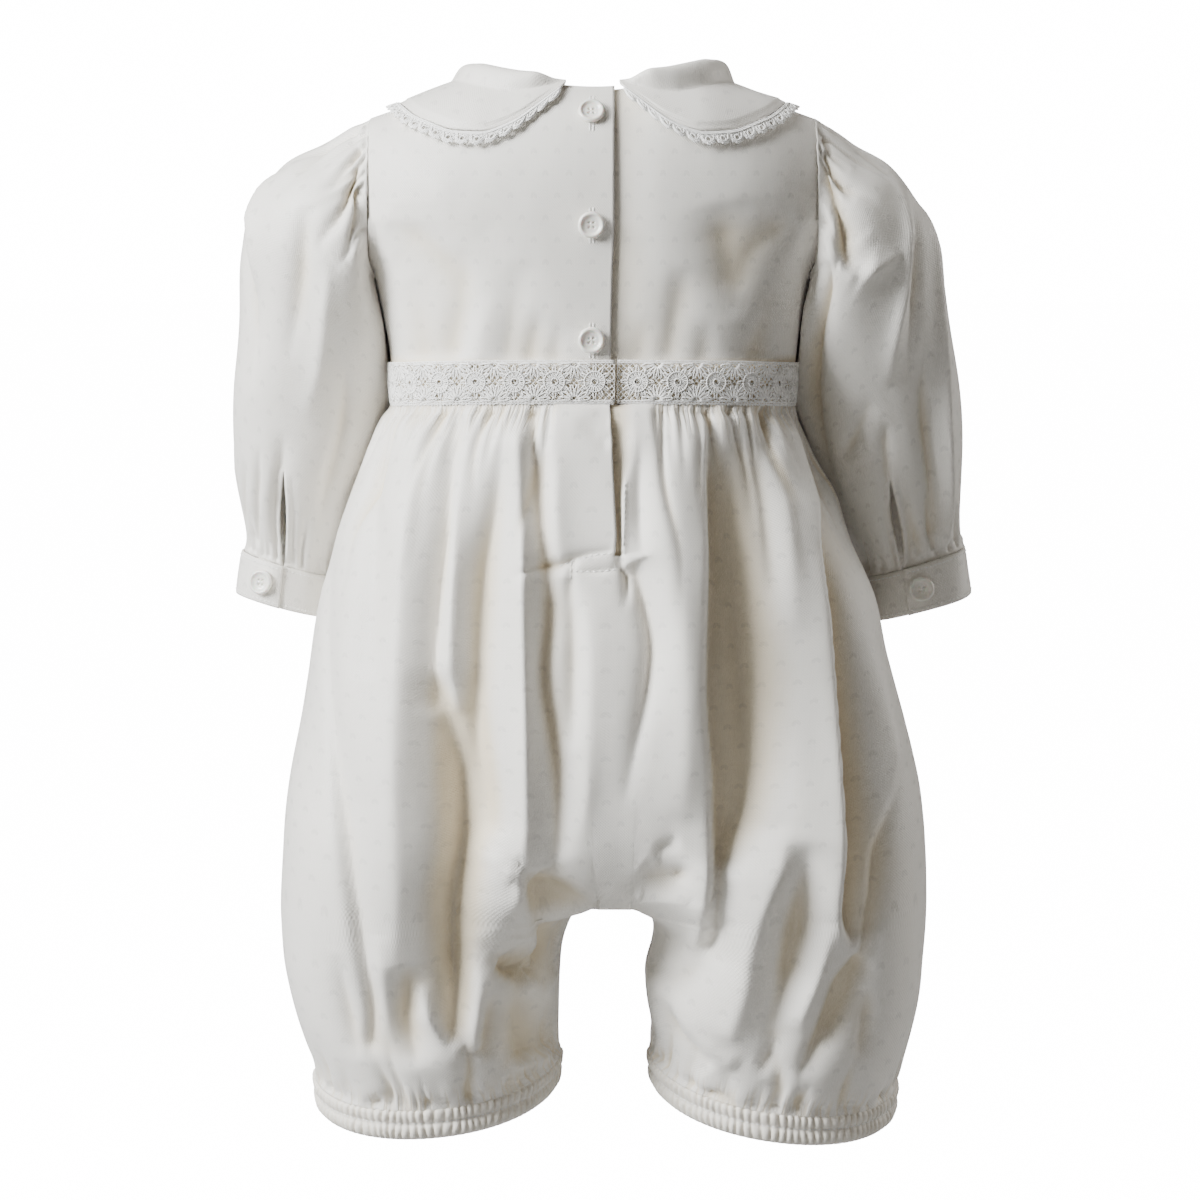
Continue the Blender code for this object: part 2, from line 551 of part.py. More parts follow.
def skirt_half(outer_name, inner_name, depth_name, cells, side):
    """Half of a skirt panel: rows from the side seam to the middle, and below
    the crotch from the side seam round to the inseam."""
    z = column(SKIRT_ROWS, "z")[:, None]
    outer = column(SKIRT_ROWS, outer_name)[:, None]
    inner = column(SKIRT_ROWS, inner_name)[:, None]
    depth = column(SKIRT_ROWS, depth_name)[:, None]
    middle = (column(SKIRT_ROWS, "left") + column(SKIRT_ROWS, "right"))[:, None] / 2
    legs = 1.0 - smoothstep(LEG_Z, SEAT_Z, z)
    ridge = (outer + CENTRE_X + (inner[-1] - CENTRE_X) * legs) / 2
    web = depth * arch((SEAT_Z - np.minimum(z, SEAT_Z)) / (SEAT_Z - CROTCH_Z), SEAT_ROUND)
    hang = 1.0 - smoothstep(HEM_TOP_Z, CROTCH_Z, z)
    torso_x, torso_y = torso_section(outer, CENTRE_X, middle, depth, cells)
    leg_x, leg_y = leg_section(outer, inner, ridge, depth, web, hang, cells)
    share = 1.0 - smoothstep(CROTCH_Z, -205.0, z)
    x = torso_x + (leg_x - torso_x) * share
    across = np.arange(cells + 1)[None, :] / (cells - WEB_CELLS)
    to_side = 1.0 - np.minimum(across, 1.0) ** 2
    z = z + (column(SKIRT_ROWS, "z_side")[:, None] - z) * to_side
    y = side * np.maximum(torso_y + (leg_y - torso_y) * share, HALF_SEAM)
    drop = LEFT_DROP if outer[0] < 0 else RIGHT_DROP
    fall = hang * hem_drop(x, y, outer[-1], inner[-1], drop)
    return np.stack([x, y, z + waist_lift(y, z) - fall], axis=-1)


def half_faces(index):
    """A half's quads, without the middle cells below the crotch."""
    crotch = int(np.flatnonzero(column(SKIRT_ROWS, "z") == CROTCH_Z)[0])
    above = indexed_faces(index[:crotch + 1])
    return np.vstack([above, indexed_faces(index[crotch:, :-WEB_CELLS])])


def skirt_panel(name, cells, side, folds, depth_name, slit):
    """A skirt panel with both its halves, joined down the middle from the
    slit's end, or from the waist, to the crotch."""
    left = skirt_half("left", "inner_left", depth_name, cells[0], side)
    right = skirt_half("right", "inner_right", depth_name, cells[1], side)
    rows = len(SKIRT_ROWS)
    z = column(SKIRT_ROWS, "z")
    joined = (z >= CROTCH_Z) & (z <= (SLIT_END_Z if slit else 0.0))
    open_rows = np.flatnonzero(z > SLIT_END_Z) if slit else []
    for row in open_rows:
        right[row, -1, 0] += SEAM if row == open_rows[-1] else -SLIT_OVERLAP
    left_index = np.arange(left[..., 0].size).reshape(rows, -1)
    right_index = np.arange(right[..., 0].size).reshape(rows, -1) + left_index.size
    first_column = [left_index[:, 0], right_index[:, 0]]
    right_index[joined, -1] = left_index[joined, -1]
    points = np.vstack([left.reshape(-1, 3), right.reshape(-1, 3)])
    below_flap = np.zeros(len(points), bool)
    below_flap[right_index[open_rows]] = True
    gathers = np.zeros(len(points))
    flat = BACK_FLAT_CELLS if slit else (0, 0)
    for index, count, plain in ((right_index, cells[1], flat[1]),
                                (left_index, cells[0], flat[0])):
        gathers[index] = gather_height(z, count, plain)
    edge_row = np.zeros(len(points), int)
    edge_row[np.concatenate([left_index[0], right_index[0]])] = 1
    edge_row[np.concatenate([left_index[-1], right_index[-1]])] = 2
    seam = np.zeros(len(points), bool)
    seam[np.concatenate(first_column)] = True
    for index in (left_index, right_index):
        seam[index[z <= CROTCH_Z, -1 - WEB_CELLS]] = True
        seam[index[z == CROTCH_Z, -1 - WEB_CELLS:]] = True
    faces = np.vstack([half_faces(left_index), half_faces(right_index)[:, ::-1]])
    points, faces, used = only_used(points, faces)
    faces = facing_out(points, faces, [0, side, 0])
    below_flap, gathers, edge_row, seam = (
        values[used] for values in (below_flap, gathers, edge_row, seam))

    def level_normals():
        normals = flattened(sheet_normals(points, faces), seam, 1)
        return flattened(normals, edge_row > 0, 2)

    depth = sum(fold_trough(points[:, 0], points[:, 2], fold) for fold in folds)
    from_waist = WAIST_Z - points[:, 2]
    from_hem = points[:, 2] - HEM_TOP_Z + HEM_DROOP + LEFT_DROP
    depth = depth * smoothstep(0.0, EDGE_FADE, np.minimum(from_waist, from_hem))
    depth = depth * smoothstep(0.0, 30.0, np.abs(points[:, 1])) * (edge_row == 0)
    step = FLAP_STEP * (1 - smoothstep(0, FLAP_FADE, points[:, 0] - CENTRE_X))
    depth = depth + np.where(below_flap, step, 0.0)
    points = points - level_normals() * depth[:, None]
    points = points + level_normals() * (gathers * ~seam)[:, None]
    cloth_wall(name, points, faces, level_normals())


def gather_height(z, cells, flat_cells):
    """Height of the gathers: every second column stands out, below the waist
    and above the hem."""
    number = np.arange(cells + 1)[None, :]
    below = (SKIRT_ROWS[0].z - z)[:, None]
    above = (z - HEM_TOP_Z)[:, None]
    waist = smoothstep(0.0, 12.0, below) * (1 - smoothstep(13.0, GATHER_LENGTH, below))
    leg = smoothstep(0.0, 7.0, above) * (1 - smoothstep(8.0, 26.0, above))
    odd = number % 2
    waist = waist * odd * (number < cells - flat_cells)
    return GATHER_HEIGHT * (waist + 0.8 * leg * odd)


def make_skirt():
    skirt_panel("skirt_back", BACK_COLUMNS, -1, BACK_FOLDS, "back", True)
    skirt_panel("skirt_front", FRONT_COLUMNS, 1, FRONT_FOLDS, "front", False)


def make_underlap():
    """The strip sewn inside the right edge of the slit, below the flap."""
    rows = [row for row in SKIRT_ROWS if SLIT_END_Z <= row.z < SKIRT_TOP_Z]
    x = np.linspace(CENTRE_X - 13.0, CENTRE_X + 4.5, 4)
    inwards = CLOTH + SEAM + FLAP_STEP + 0.3
    sheet = []
    for row in rows:
        middle, half = (row.left + row.right) / 2, (row.right - row.left) / 2
        y = -row.back * arch((x - middle) / half, RING_ROUND) + inwards
        sheet.append(np.stack([x, y, row.z + waist_lift(y, row.z)], axis=1))
    points = np.array(sheet).reshape(-1, 3)
    faces = facing_out(points, grid_faces(len(rows), len(x)), [0, -1, 0])
    cloth_wall("slit_underlap", points, faces, sheet_normals(points, faces))


# ================================================================= hem bands
def hem_band(name, outer, inner, drop):
    """A leg's elastic hem: a ring of gathered cloth, pinched by the stitches
    along its middle and flared a little at its lower edge."""
    last = SKIRT_ROWS[-1]
    ridge, half = (outer + inner) / 2, (outer - inner) / 2
    turn = np.linspace(0, 2 * pi, 2 * HEM_GATHERS, endpoint=False)
    odd = np.arange(len(turn)) % 2
    round_x, round_y = np.cos(turn), np.sin(turn)
    power = 2 / HEM_ROUND
    depth = np.where(round_y < 0, last.back, last.front)
    rows = []
    levels = zip((SEAM, HEM_HEIGHT * HEM_STITCH, HEM_HEIGHT),
                 (0.0, -0.9, 0.6), (0.4, 0.3, 1.0))
    for below, spread, ripple in levels:
        out = spread + HEM_RIPPLE * ripple * odd
        x = ridge + (half + np.sign(half) * out) * powered(round_x, power)
        y = (depth + out) * powered(round_y, power)
        fall = hem_drop(x, np.clip(y, -last.back, last.back), outer, inner, drop)
        rows.append(np.stack([x, y, HEM_TOP_Z - below - fall], axis=1))
    points = np.array(rows).reshape(-1, 3)
    away = points - [ridge, 0, 0]
    faces = facing_out(points, grid_faces(3, len(turn), closed=True), away * [1, 1, 0])
    normals = flattened(sheet_normals(points, faces), slice(None), 2)
    cloth_wall(name, points, faces, normals)


def make_hems():
    last = SKIRT_ROWS[-1]
    hem_band("left_leg_hem", last.left, last.inner_left, LEFT_DROP)
    hem_band("right_leg_hem", last.right, last.inner_right, RIGHT_DROP)


# =================================================================== sleeves
def armhole(angle, x):
    """The armhole's outline: its upper half follows the shoulder's curve."""
    top = float(shoulder_height(np.array(ARMHOLE_X)))
    power = np.where(np.cos(angle) > 0, 2 / SHOULDER_ROUND, 1.0)
    rise = np.where(np.cos(angle) > 0, top - CHEST_Z, CHEST_Z - ARMPIT_Z)
    y = -ARMHOLE_DEPTH * powered(np.sin(angle), power)
    z = CHEST_Z + rise * powered(np.cos(angle), power)
    return np.stack([np.full_like(y, x), y, z], axis=1)


def sleeve_section(row, angle):
    """A section of the sleeve: two half ovals that meet at its widest place."""
    outer = np.array([row.outer_x, 0.0, row.outer_z])
    inner = np.array([row.inner_x, 0.0, row.inner_z])
    middle = outer + (inner - outer) * row.widest
    share = powered(np.cos(angle), WRIST_ROUND)[:, None]
    across = np.where(share > 0, share * (outer - middle), -share * (inner - middle))
    points = middle + across
    points[:, 1] = row.forward - row.half_depth * powered(np.sin(angle), WRIST_ROUND)
    return points


def sleeve(name, rows, folds, cuff, side):
    """A sleeve from its armhole to its cuff. Its first and last columns meet
    on the line of the slit, and stand apart along the slit itself."""
    start = radians(cuff.opening_angle)
    open_from, open_to = SLIT_SECTIONS
    sections = []
    for number in range(len(rows) + 1):
        slit = 0.0
        if number > open_from:
            share = (number - open_from) / (open_to + 1 - open_from)
            slit = SLIT_WIDTH / 2 * np.sin(pi * min(share, 0.93)) + 0.35
        away = slit / rows[max(number - 1, 0)].half_depth
        turn = start + np.linspace(away, 2 * pi - away, SLEEVE_CELLS + 1)
        if number == 0:
            sections.append(armhole(turn, side * (ARMHOLE_X + SEAM + 0.05)))
        else:
            sections.append(sleeve_section(rows[number - 1], turn))
    points = np.array(sections).reshape(-1, 3)
    index = np.arange(len(points)).reshape(len(sections), -1)
    index[:open_from + 1, -1] = index[:open_from + 1, 0]
    points, faces, used = only_used(points, indexed_faces(index))
    number = used // (SLEEVE_CELLS + 1)
    step = 360.0 / SLEEVE_CELLS
    angle = np.degrees(start) + step * (used % (SLEEVE_CELLS + 1))
    axis = np.array([np.mean(section, axis=0) for section in sections])[number]
    faces = facing_out(points, faces, points - axis)

    def level_normals():
        return flattened(sheet_normals(points, faces), number == 0, 0)

    depth = sum(sleeve_trough(number, angle, fold) for fold in folds)
    depth = depth * (number > 0) * (number < len(rows))
    points = points - level_normals() * depth[:, None]
    gathers = head_gathers(number, angle)
    points = points + level_normals() * gathers[:, None]
    cloth_wall(name, points, faces, level_normals())


def sleeve_trough(number, angle, fold):
    """Depth of a sleeve's fold, which runs evenly from its top to its low end."""
    share = (number - fold.row_top) / (fold.row_low - fold.row_top)
    line = fold.angle_top + (fold.angle_low - fold.angle_top) * share
    away = (angle - line + 180.0) % 360.0 - 180.0
    ends = smoothstep(-0.1, 0.25, share) * (1 - smoothstep(0.75, 1.1, share))
    return fold.depth * ends * np.exp(-((away / fold.width) ** 2))


def head_gathers(number, angle):
    """Height of the gathers that fan out from the upper half of the armhole."""
    from_top = (angle + 180.0) % 360.0 - 180.0
    upper = 1 - smoothstep(85.0, 120.0, np.abs(from_top))
    odd = np.round(from_top * SLEEVE_CELLS / 360.0).astype(int) % 2
    fade = np.where(number == 0, 0.0, np.clip((4 - number) / 3.0, 0, 1))
    return HEAD_RIPPLE * upper * odd * fade


# ===================================================================== cuffs
def cuff_points(cuff, turn, out):
    """Rows of the cuff from its top edge to its lower edge."""
    rows = []
    for share in (0.0, 0.5, 1.0):
        outer = np.array(cuff.top_outer) * (1 - share) + np.array(cuff.low_outer) * share
        inner = np.array(cuff.top_inner) * (1 - share) + np.array(cuff.low_inner) * share
        middle, half = (outer + inner) / 2, (outer - inner) / 2
        reach = 1 + out / np.linalg.norm(half)
        plan = middle + half * (powered(np.cos(turn), WRIST_ROUND) * reach)[:, None]
        y = CUFF_FORWARD - (CUFF_HALF_DEPTH + out) * powered(np.sin(turn), WRIST_ROUND)
        rows.append(np.stack([plan[:, 0], y, plan[:, 1]], axis=1))
    return np.array(rows)


def make_cuff(name, cuff):
    """A cuff: a strip that goes once round the wrist, with its buttoned end
    lying over its other end."""
    overlap = radians(CUFF_OVERLAP)
    travel = np.linspace(0, 2 * pi + overlap, CUFF_CELLS + 1)
    turn = radians(cuff.opening_angle) - travel
    out = CUFF_LIFT * (1 - smoothstep(overlap + 0.1, overlap + 1.1, travel))
    sheet = cuff_points(cuff, turn, out)
    points = sheet.reshape(-1, 3)
    faces = grid_faces(len(sheet), len(travel))
    faces = facing_out(points, faces, points - points.mean(axis=0))
    cloth_wall(name, points, faces, sheet_normals(points, faces))


def make_sleeves():
    sleeve("left_sleeve", LEFT_SLEEVE, LEFT_SLEEVE_FOLDS, LEFT_CUFF, -1)
    sleeve("right_sleeve", RIGHT_SLEEVE, RIGHT_SLEEVE_FOLDS, RIGHT_CUFF, 1)
    make_cuff("left_cuff", LEFT_CUFF)
    make_cuff("right_cuff", RIGHT_CUFF)


# ==================================================================== collar
def collar_point(angle, distance):
    """The point of the bodice's surface that lies this far from the neckline,
    measured along the cloth, straight away from the middle of the neck."""
    neck = NECK_BACK if np.cos(angle) > 0 else NECK_FRONT
    plan = np.array([NECK_HALF * np.sin(angle), -neck * np.cos(angle)])
    length = np.linalg.norm(plan)
    towards = plan / length
    chest = CHEST_BACK if towards[1] < 0 else CHEST_FRONT
    sides = np.abs(towards) / [BODICE_RINGS[-1].half_width, chest]
    reach = np.sum(sides ** RING_ROUND) ** (-1 / RING_ROUND)
    along = length + (reach - length) * np.sin(np.linspace(0, pi / 2, 160))
    path = np.stack([along * towards[0], along * towards[1],
                     shoulder_surface(along * towards[0], along * towards[1])], axis=1)
    foot = np.stack([[path[-1, 0]] * 2, [path[-1, 1]] * 2,
                     [CHEST_Z - 1.0, CHEST_Z - 60.0]], axis=1)
    path = np.vstack([path, foot])
    run = np.concatenate([[0], np.cumsum(np.linalg.norm(np.diff(path, axis=0), axis=1))])
    return [np.interp(distance, run, path[:, k]) for k in range(3)]


def collar_width(angle):
    return np.interp(np.degrees(angle), column(COLLAR_ROWS, "angle"),
                     column(COLLAR_ROWS, "width"))


def shoulder_sheet(name, angles, distances, lifts, side, material, thickness):
    """A piece that lies on the bodice: rows of points on its surface, moved
    out by their lifts."""
    sheet = np.array([[collar_point(angle, distance)
                       for angle, distance in zip(angles, row)] for row in distances])
    sheet[..., 0] *= side
    points = sheet.reshape(-1, 3)
    faces = facing_out(points, grid_faces(*sheet.shape[:2]), points + [0, 0, 60])
    normals = sheet_normals(points, faces)
    points = points + normals * lifts.reshape(-1, 1)
    cloth_wall(name, points, faces, sheet_normals(points, faces), material, thickness)


def collar_half(name, side, roll_height):
    """Half of the collar: it rises from the neckline, rolls over and lies on
    the shoulder, with a round end at the back and at the front."""
    first, last = COLLAR_ROWS[0].angle, COLLAR_ROWS[-1].angle
    share = np.linspace(0, 1, COLLAR_CELLS + 1)
    eased = share - 0.05 * np.sin(4 * pi * share)
    angle = np.radians(first + (last - first) * eased)
    width = collar_width(angle)
    distances = np.array([part * width for part in COLLAR_SHARES])
    roll = np.sin(pi * np.clip(np.array(COLLAR_SHARES) / 0.40, 0, 1))[:, None]
    lifts = COLLAR_LIFT + roll_height * roll * smoothstep(4.0, 26.0, width)[None, :]
    shoulder_sheet(name, angle, distances, lifts, side, COTTON, CLOTH)


def collar_lace(name, side):
    """The edging: a strip outside the collar's edge, rippled and scalloped."""
    first, last = COLLAR_ROWS[0].angle, COLLAR_ROWS[-1].angle
    angle = np.radians(np.linspace(first + 1.0, last - 1.0, 2 * LACE_WAVES + 1))
    width = collar_width(angle)
    wave = np.arange(len(angle)) % 2
    distances = np.array([width + SEAM + 0.5 + LACE_WIDTH * part * (0.86 + 0.14 * wave)
                          for part in (0.0, 1.0)])
    lifts = np.array([COLLAR_LIFT - 0.3 + LACE_RIPPLE * wave * part
                      for part in (0.0, 1.0)])
    shoulder_sheet(name, angle, distances, lifts, side, LACE, TRIM)


def make_collar():
    collar_half("collar_left", -1, LEFT_ROLL)
    collar_half("collar_right", 1, RIGHT_ROLL)
    collar_lace("collar_lace_left", -1)
    collar_lace("collar_lace_right", 1)


# ================================================================ waist lace
def waist_ring(share, z):
    """A point of the bodice's ring at z; share 0 is the flap's edge and the
    ring runs from there round the left side, the front and the right side."""
    half_width = np.interp(z, column(BODICE_RINGS, "z"),
                           column(BODICE_RINGS, "half_width"))
    power = 2 / RING_ROUND
    turn = np.arcsin((FLAP_X / half_width) ** (1 / power)) - share * 2 * pi
    depth = np.where(np.cos(turn) > 0, CHEST_BACK, CHEST_FRONT)
    y = -depth * powered(np.cos(turn), power)
    return np.stack([half_width * powered(np.sin(turn), power), y,
                     z + waist_lift(y, z)], axis=-1)


def make_waist_lace():
    """The lace band round the waist, one strip from the flap's edge round to
    the right back, where it lies below the flap's step."""
    share = np.linspace(0.0, 0.9985, BAND_CELLS + 1)
    heights = (BAND_TOP_Z, BAND_LOW_Z)
    points = np.array([waist_ring(share, z) for z in heights]).reshape(-1, 3)
    faces = facing_out(points, grid_faces(2, len(share)), points * [1, 1, 0])
    normals = flattened(sheet_normals(points, faces), slice(None), 2)
    sunk = np.where(np.tile(share, 2) > 0.8, flap_sink(points), 0.0)
    points = points + normals * (SEAM + TRIM + 0.25 - sunk)[:, None]
    cloth_wall("waist_lace", points, faces, normals, LACE, TRIM)


# =================================================================== buttons
def make_button(name, centre, outwards):
    """A turned button: a raised rim round a dished middle."""
    outwards = np.asarray(outwards, float) / np.linalg.norm(outwards)
    across = np.cross(outwards, [0.0, 0.0, 1.0])
    across /= np.linalg.norm(across)
    upright = np.cross(across, outwards)
    turn = np.linspace(0, 2 * pi, BUTTON_SIDES, endpoint=False)
    ring = np.cos(turn)[:, None] * across + np.sin(turn)[:, None] * upright
    points = [centre + outwards * BUTTON_OUTLINE[0].height, centre]
    for place in BUTTON_OUTLINE:
        points += list(centre + ring * place.radius + outwards * place.height)
    index = np.arange(2, len(points)).reshape(len(BUTTON_OUTLINE), BUTTON_SIDES)
    faces = indexed_faces(np.hstack([index, index[:, :1]])).tolist()
    for k in range(BUTTON_SIDES):
        after = (k + 1) % BUTTON_SIDES
        faces.append([0, int(index[0, after]), int(index[0, k])])
        faces.append([1, int(index[-1, k]), int(index[-1, after])])
    corner = np.array(points)
    tip, second, third = corner[faces[-2]]
    if np.dot(np.cross(second - tip, third - tip), outwards) < 0:
        faces = [face[::-1] for face in faces]
    add_object(name, corner, faces, RESIN)


def make_buttons():
    for number, z in enumerate(BUTTON_HEIGHTS):
        rise = max((z - CHEST_Z) / (NECK_RISE - CHEST_Z), 0.0)
        y = -CHEST_BACK * arch(rise, SHOULDER_ROUND)
        slope = (rise / arch(rise, SHOULDER_ROUND)) ** (SHOULDER_ROUND - 1)
        outwards = np.array([0.0, -1.0, slope * CHEST_BACK / (NECK_RISE - CHEST_Z)])
        lift = BUTTON_SEAT * outwards / np.linalg.norm(outwards)
        spot = np.array([BUTTON_X, y, z]) + lift
        make_button(f"back_button_{number + 1}", spot, outwards)
    for name, cuff in (("left_cuff_button", LEFT_CUFF), ("right_cuff_button", RIGHT_CUFF)):
        turn = np.radians([cuff.button_angle])
        spot = cuff_points(cuff, turn, np.array([CUFF_LIFT + BUTTON_SEAT + 0.1]))[1, 0]
        inside = cuff_points(cuff, turn, np.array([0.0]))[1, 0]
        make_button(name, spot, spot - inside)


# ============================================================= the whole part
for old in list(bpy.data.objects):
    bpy.data.objects.remove(old)
make_bodice()
make_skirt()
make_underlap()
make_hems()
make_sleeves()
make_collar()
make_waist_lace()
make_buttons()
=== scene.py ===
"""A baby romper in ivory cotton, shown with its buttoned back towards the camera.

The cloth pieces are thin shells on the same forms as the solids, so they keep
the hollow form that the romper has when it is worn. -Y is the wearer's back and
-X the wearer's left. Sizes are in millimetres and angles in degrees, and they
become metres where a mesh is made.
"""

from collections import namedtuple
from math import pi, radians

import bpy
import numpy as np
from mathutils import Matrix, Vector
from mathutils.bvhtree import BVHTree


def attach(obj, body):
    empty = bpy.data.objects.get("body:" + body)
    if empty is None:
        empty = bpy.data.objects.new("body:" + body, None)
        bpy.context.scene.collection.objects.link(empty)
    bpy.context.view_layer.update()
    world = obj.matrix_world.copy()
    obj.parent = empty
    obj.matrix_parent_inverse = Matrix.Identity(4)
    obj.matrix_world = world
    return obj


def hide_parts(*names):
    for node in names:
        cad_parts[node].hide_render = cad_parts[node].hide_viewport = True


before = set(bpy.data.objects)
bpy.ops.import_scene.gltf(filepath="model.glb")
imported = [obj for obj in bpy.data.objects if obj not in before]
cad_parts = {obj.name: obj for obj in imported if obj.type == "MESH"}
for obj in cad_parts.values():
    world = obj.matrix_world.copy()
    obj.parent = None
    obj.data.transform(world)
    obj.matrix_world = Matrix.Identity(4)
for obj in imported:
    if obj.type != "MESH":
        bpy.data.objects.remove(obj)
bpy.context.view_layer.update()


# ------------------------------------------------------------- cotton cloth
# The cloth is a light ivory cotton with a soft sheen. It is woven with slubs,
# the slightly thicker lengths of yarn, and with small figures in rows. The
# figures are woven in and only change how the cloth shines, so they are drawn
# in the material from the cloth's own map.
class Signal:
    """One output of a shader node, so that sums are written as arithmetic."""

    def __init__(self, tree, socket):
        self.tree = tree
        self.socket = socket

    def node(self, kind, settings, inputs, output=0):
        """Adds a node of this kind and gives one of its outputs."""
        made = self.tree.nodes.new(kind)
        for name, value in settings.items():
            setattr(made, name, value)
        for name, value in inputs.items():
            if isinstance(value, Signal):
                self.tree.links.new(value.socket, made.inputs[name])
            else:
                made.inputs[name].default_value = value
        return Signal(self.tree, made.outputs[output])

    def maths(self, operation, *others):
        """This value and the others taken through one Math node."""
        values = dict(enumerate((self, *others)))
        return self.node("ShaderNodeMath", {"operation": operation}, values)

    def __add__(self, other):
        return self.maths("ADD", other)

    def __radd__(self, other):
        return self.maths("ADD", other)

    def __sub__(self, other):
        return self.maths("SUBTRACT", other)

    def __rsub__(self, other):
        return (self * -1.0).maths("ADD", other)

    def __mul__(self, other):
        return self.maths("MULTIPLY", other)

    def __rmul__(self, other):
        return self.maths("MULTIPLY", other)

    def __truediv__(self, other):
        return self.maths("DIVIDE", other)

    def __pow__(self, other):
        return self.maths("POWER", other)


def new_material(name, colour, roughness):
    """A material, its surface node, and a Signal to start its maths from."""
    material = bpy.data.materials.new(name)
    material.use_nodes = True
    tree = material.node_tree
    surface = tree.nodes["Principled BSDF"]
    surface.inputs["Base Color"].default_value = (*colour, 1.0)
    surface.inputs["Roughness"].default_value = roughness
    return material, surface, Signal(tree, None)


FIGURE_WIDE = 12.0     # each woven figure has a field of this size
FIGURE_TALL = 9.0


def cotton_material():
    """The weave, its slubs and its figures, in millimetres of the cloth.

    A figure is a pair of petals: an ellipse folded about the middle of its
    field, with each second row of fields moved half across. Shade is painted
    into the colour: in the folds it turns a darker, warmer cream. Where the cloth
    is gathered, narrow tucks lie where a noise crosses its own middle,
    1 - 9 |noise - 0.5|, and painted shade darkens them too.
    """
    material, surface, start = new_material("ivory cotton", (0.86, 0.84, 0.79), 0.55)
    place = start.node("ShaderNodeUVMap", {"uv_map": "cloth"}, {})
    across = start.node("ShaderNodeSeparateXYZ", {}, {0: place}) * 1000.0
    down = start.node("ShaderNodeSeparateXYZ", {}, {0: place}, 1) * 1000.0

    row = (down / FIGURE_TALL).maths("FLOOR")
    shifted = across / FIGURE_WIDE + (row / 2.0).maths("FRACT")
    beside = ((shifted.maths("FRACT") - 0.5) * FIGURE_WIDE).maths("ABSOLUTE")
    above = ((down / FIGURE_TALL).maths("FRACT") - 0.5) * FIGURE_TALL
    petal = (((beside - 0.7) * 0.85 + above * 0.5) ** 2.0
             + ((beside - 0.7) * 0.5 - above * 0.85) ** 2.0 * 0.30)
    figure = start.node("ShaderNodeMapRange", {"interpolation_type": "SMOOTHSTEP"},
                        {0: petal, 1: 0.3, 2: 0.8, 3: 1.0, 4: 0.0})

    def noise(wide, tall, detail):
        """A noise with this many waves to a millimetre across and down."""
        field = start.node("ShaderNodeCombineXYZ", {}, {0: across * wide, 1: down * tall})
        return start.node("ShaderNodeTexNoise", {"noise_dimensions": "2D"},
                          {"Vector": field, "Scale": 1.0, "Detail": detail})

    slubs, thick = noise(1.6, 0.14, 2.0), noise(0.10, 1.9, 2.0)
    crumple, pucker = noise(0.07, 0.05, 1.0), noise(0.26, 0.03, 1.0)
    threads = (across * 5.2).maths("SINE") * (down * 5.2).maths("SINE")

    # The tucks of gathered cloth dip the bump and add painted shade in their valleys.
    gather = start.node("ShaderNodeAttribute", {"attribute_name": "gather"}, {}, 2)
    tuck = (1.0 - (pucker - 0.5).maths("ABSOLUTE") * 9.0).maths("MAXIMUM", 0.0) * gather
    # Painted shade: each point's share of it, given by its piece, with the tucks' share added.
    deep = start.node("ShaderNodeAttribute", {"attribute_name": "painted shade"}, {}, 2)
    deep = (deep + tuck * 0.7).maths("MINIMUM", 1.0)
    # Painted shade: the colour goes from ivory to a darker, warm cream as that share grows.
    cloth = start.node("ShaderNodeMix", {"data_type": "RGBA"},
                       {0: deep, 6: (0.85, 0.82, 0.76, 1.0), 7: (0.75, 0.66, 0.50, 1.0)}, 2)
    shade = 1.0 - figure * 0.10 + (slubs - 0.5) * 0.10 + (thick - 0.5) * 0.09
    colour = start.node("ShaderNodeMix", {"data_type": "RGBA"},
                        {0: shade, 6: (0.0, 0.0, 0.0, 1.0), 7: cloth}, 2)
    rough = 0.47 - figure * 0.17 + (slubs - 0.5) * 0.1
    height = slubs * 0.10 + thick * 0.10 + threads * 0.09 + crumple * 0.7 - figure * 0.06
    height = height - tuck * 0.45
    bump = start.node("ShaderNodeBump", {}, {"Strength": 0.55, "Distance": 0.001,
                                             "Height": height})
    for socket, value in (("Base Color", colour), ("Roughness", rough), ("Normal", bump)):
        material.node_tree.links.new(value.socket, surface.inputs[socket])
    surface.inputs["Sheen Weight"].default_value = 0.25
    surface.inputs["Sheen Roughness"].default_value = 0.45
    return material


COTTON = cotton_material()


# -------------------------------------------------------------------- bodice
# The bodice is cut in three: two backs that overlap under the buttons and one
# front. Each is sewn at the shoulder and below the arm. Soft folds run up from
# the waist seam, where the fuller skirt pulls on it.
MM = 0.001
CHEST_Z = -60.0
ARMPIT_Z = -84.0
WAIST_Z = -138.1
FLAP_X = 9.0           # edge of the buttoned flap
EDGE_Y = 0.03          # the back and the front stop this far from their common seam
BODICE_HALF = 103.0    # half the width of the bodice at the chest, and its depths
BACK_DEPTH = 60.0
FRONT_DEPTH = 58.0
NECK_HALF = 45.0       # half the width of the neckline, and its depths
BACK_NECK = 40.0
FRONT_NECK = 49.0
NECK_RISE = 5.0        # how far the shoulder line rises at the neckline's middle
ARMHOLE_X = 93.4       # where the shoulder seam meets the armhole
ARMHOLE_DEPTH = 34.0
BODY_POWER = 2.5       # the superellipses round the body, and up to the shoulders
SHOULDER_POWER = 2.6
# Heights of the bodice's rings, and their half widths.
RING_Z = (WAIST_Z, -122.0, -104.0, ARMPIT_Z, -72.0, CHEST_Z)
RING_HALF = (85.2, 86.0, 88.5, 93.0, 98.0, BODICE_HALF)


def smoothstep(low, high, value):
    """0 below low, 1 above high and a smooth S between them."""
    share = np.clip((value - low) / (high - low), 0.0, 1.0)
    return share * share * (3.0 - 2.0 * share)


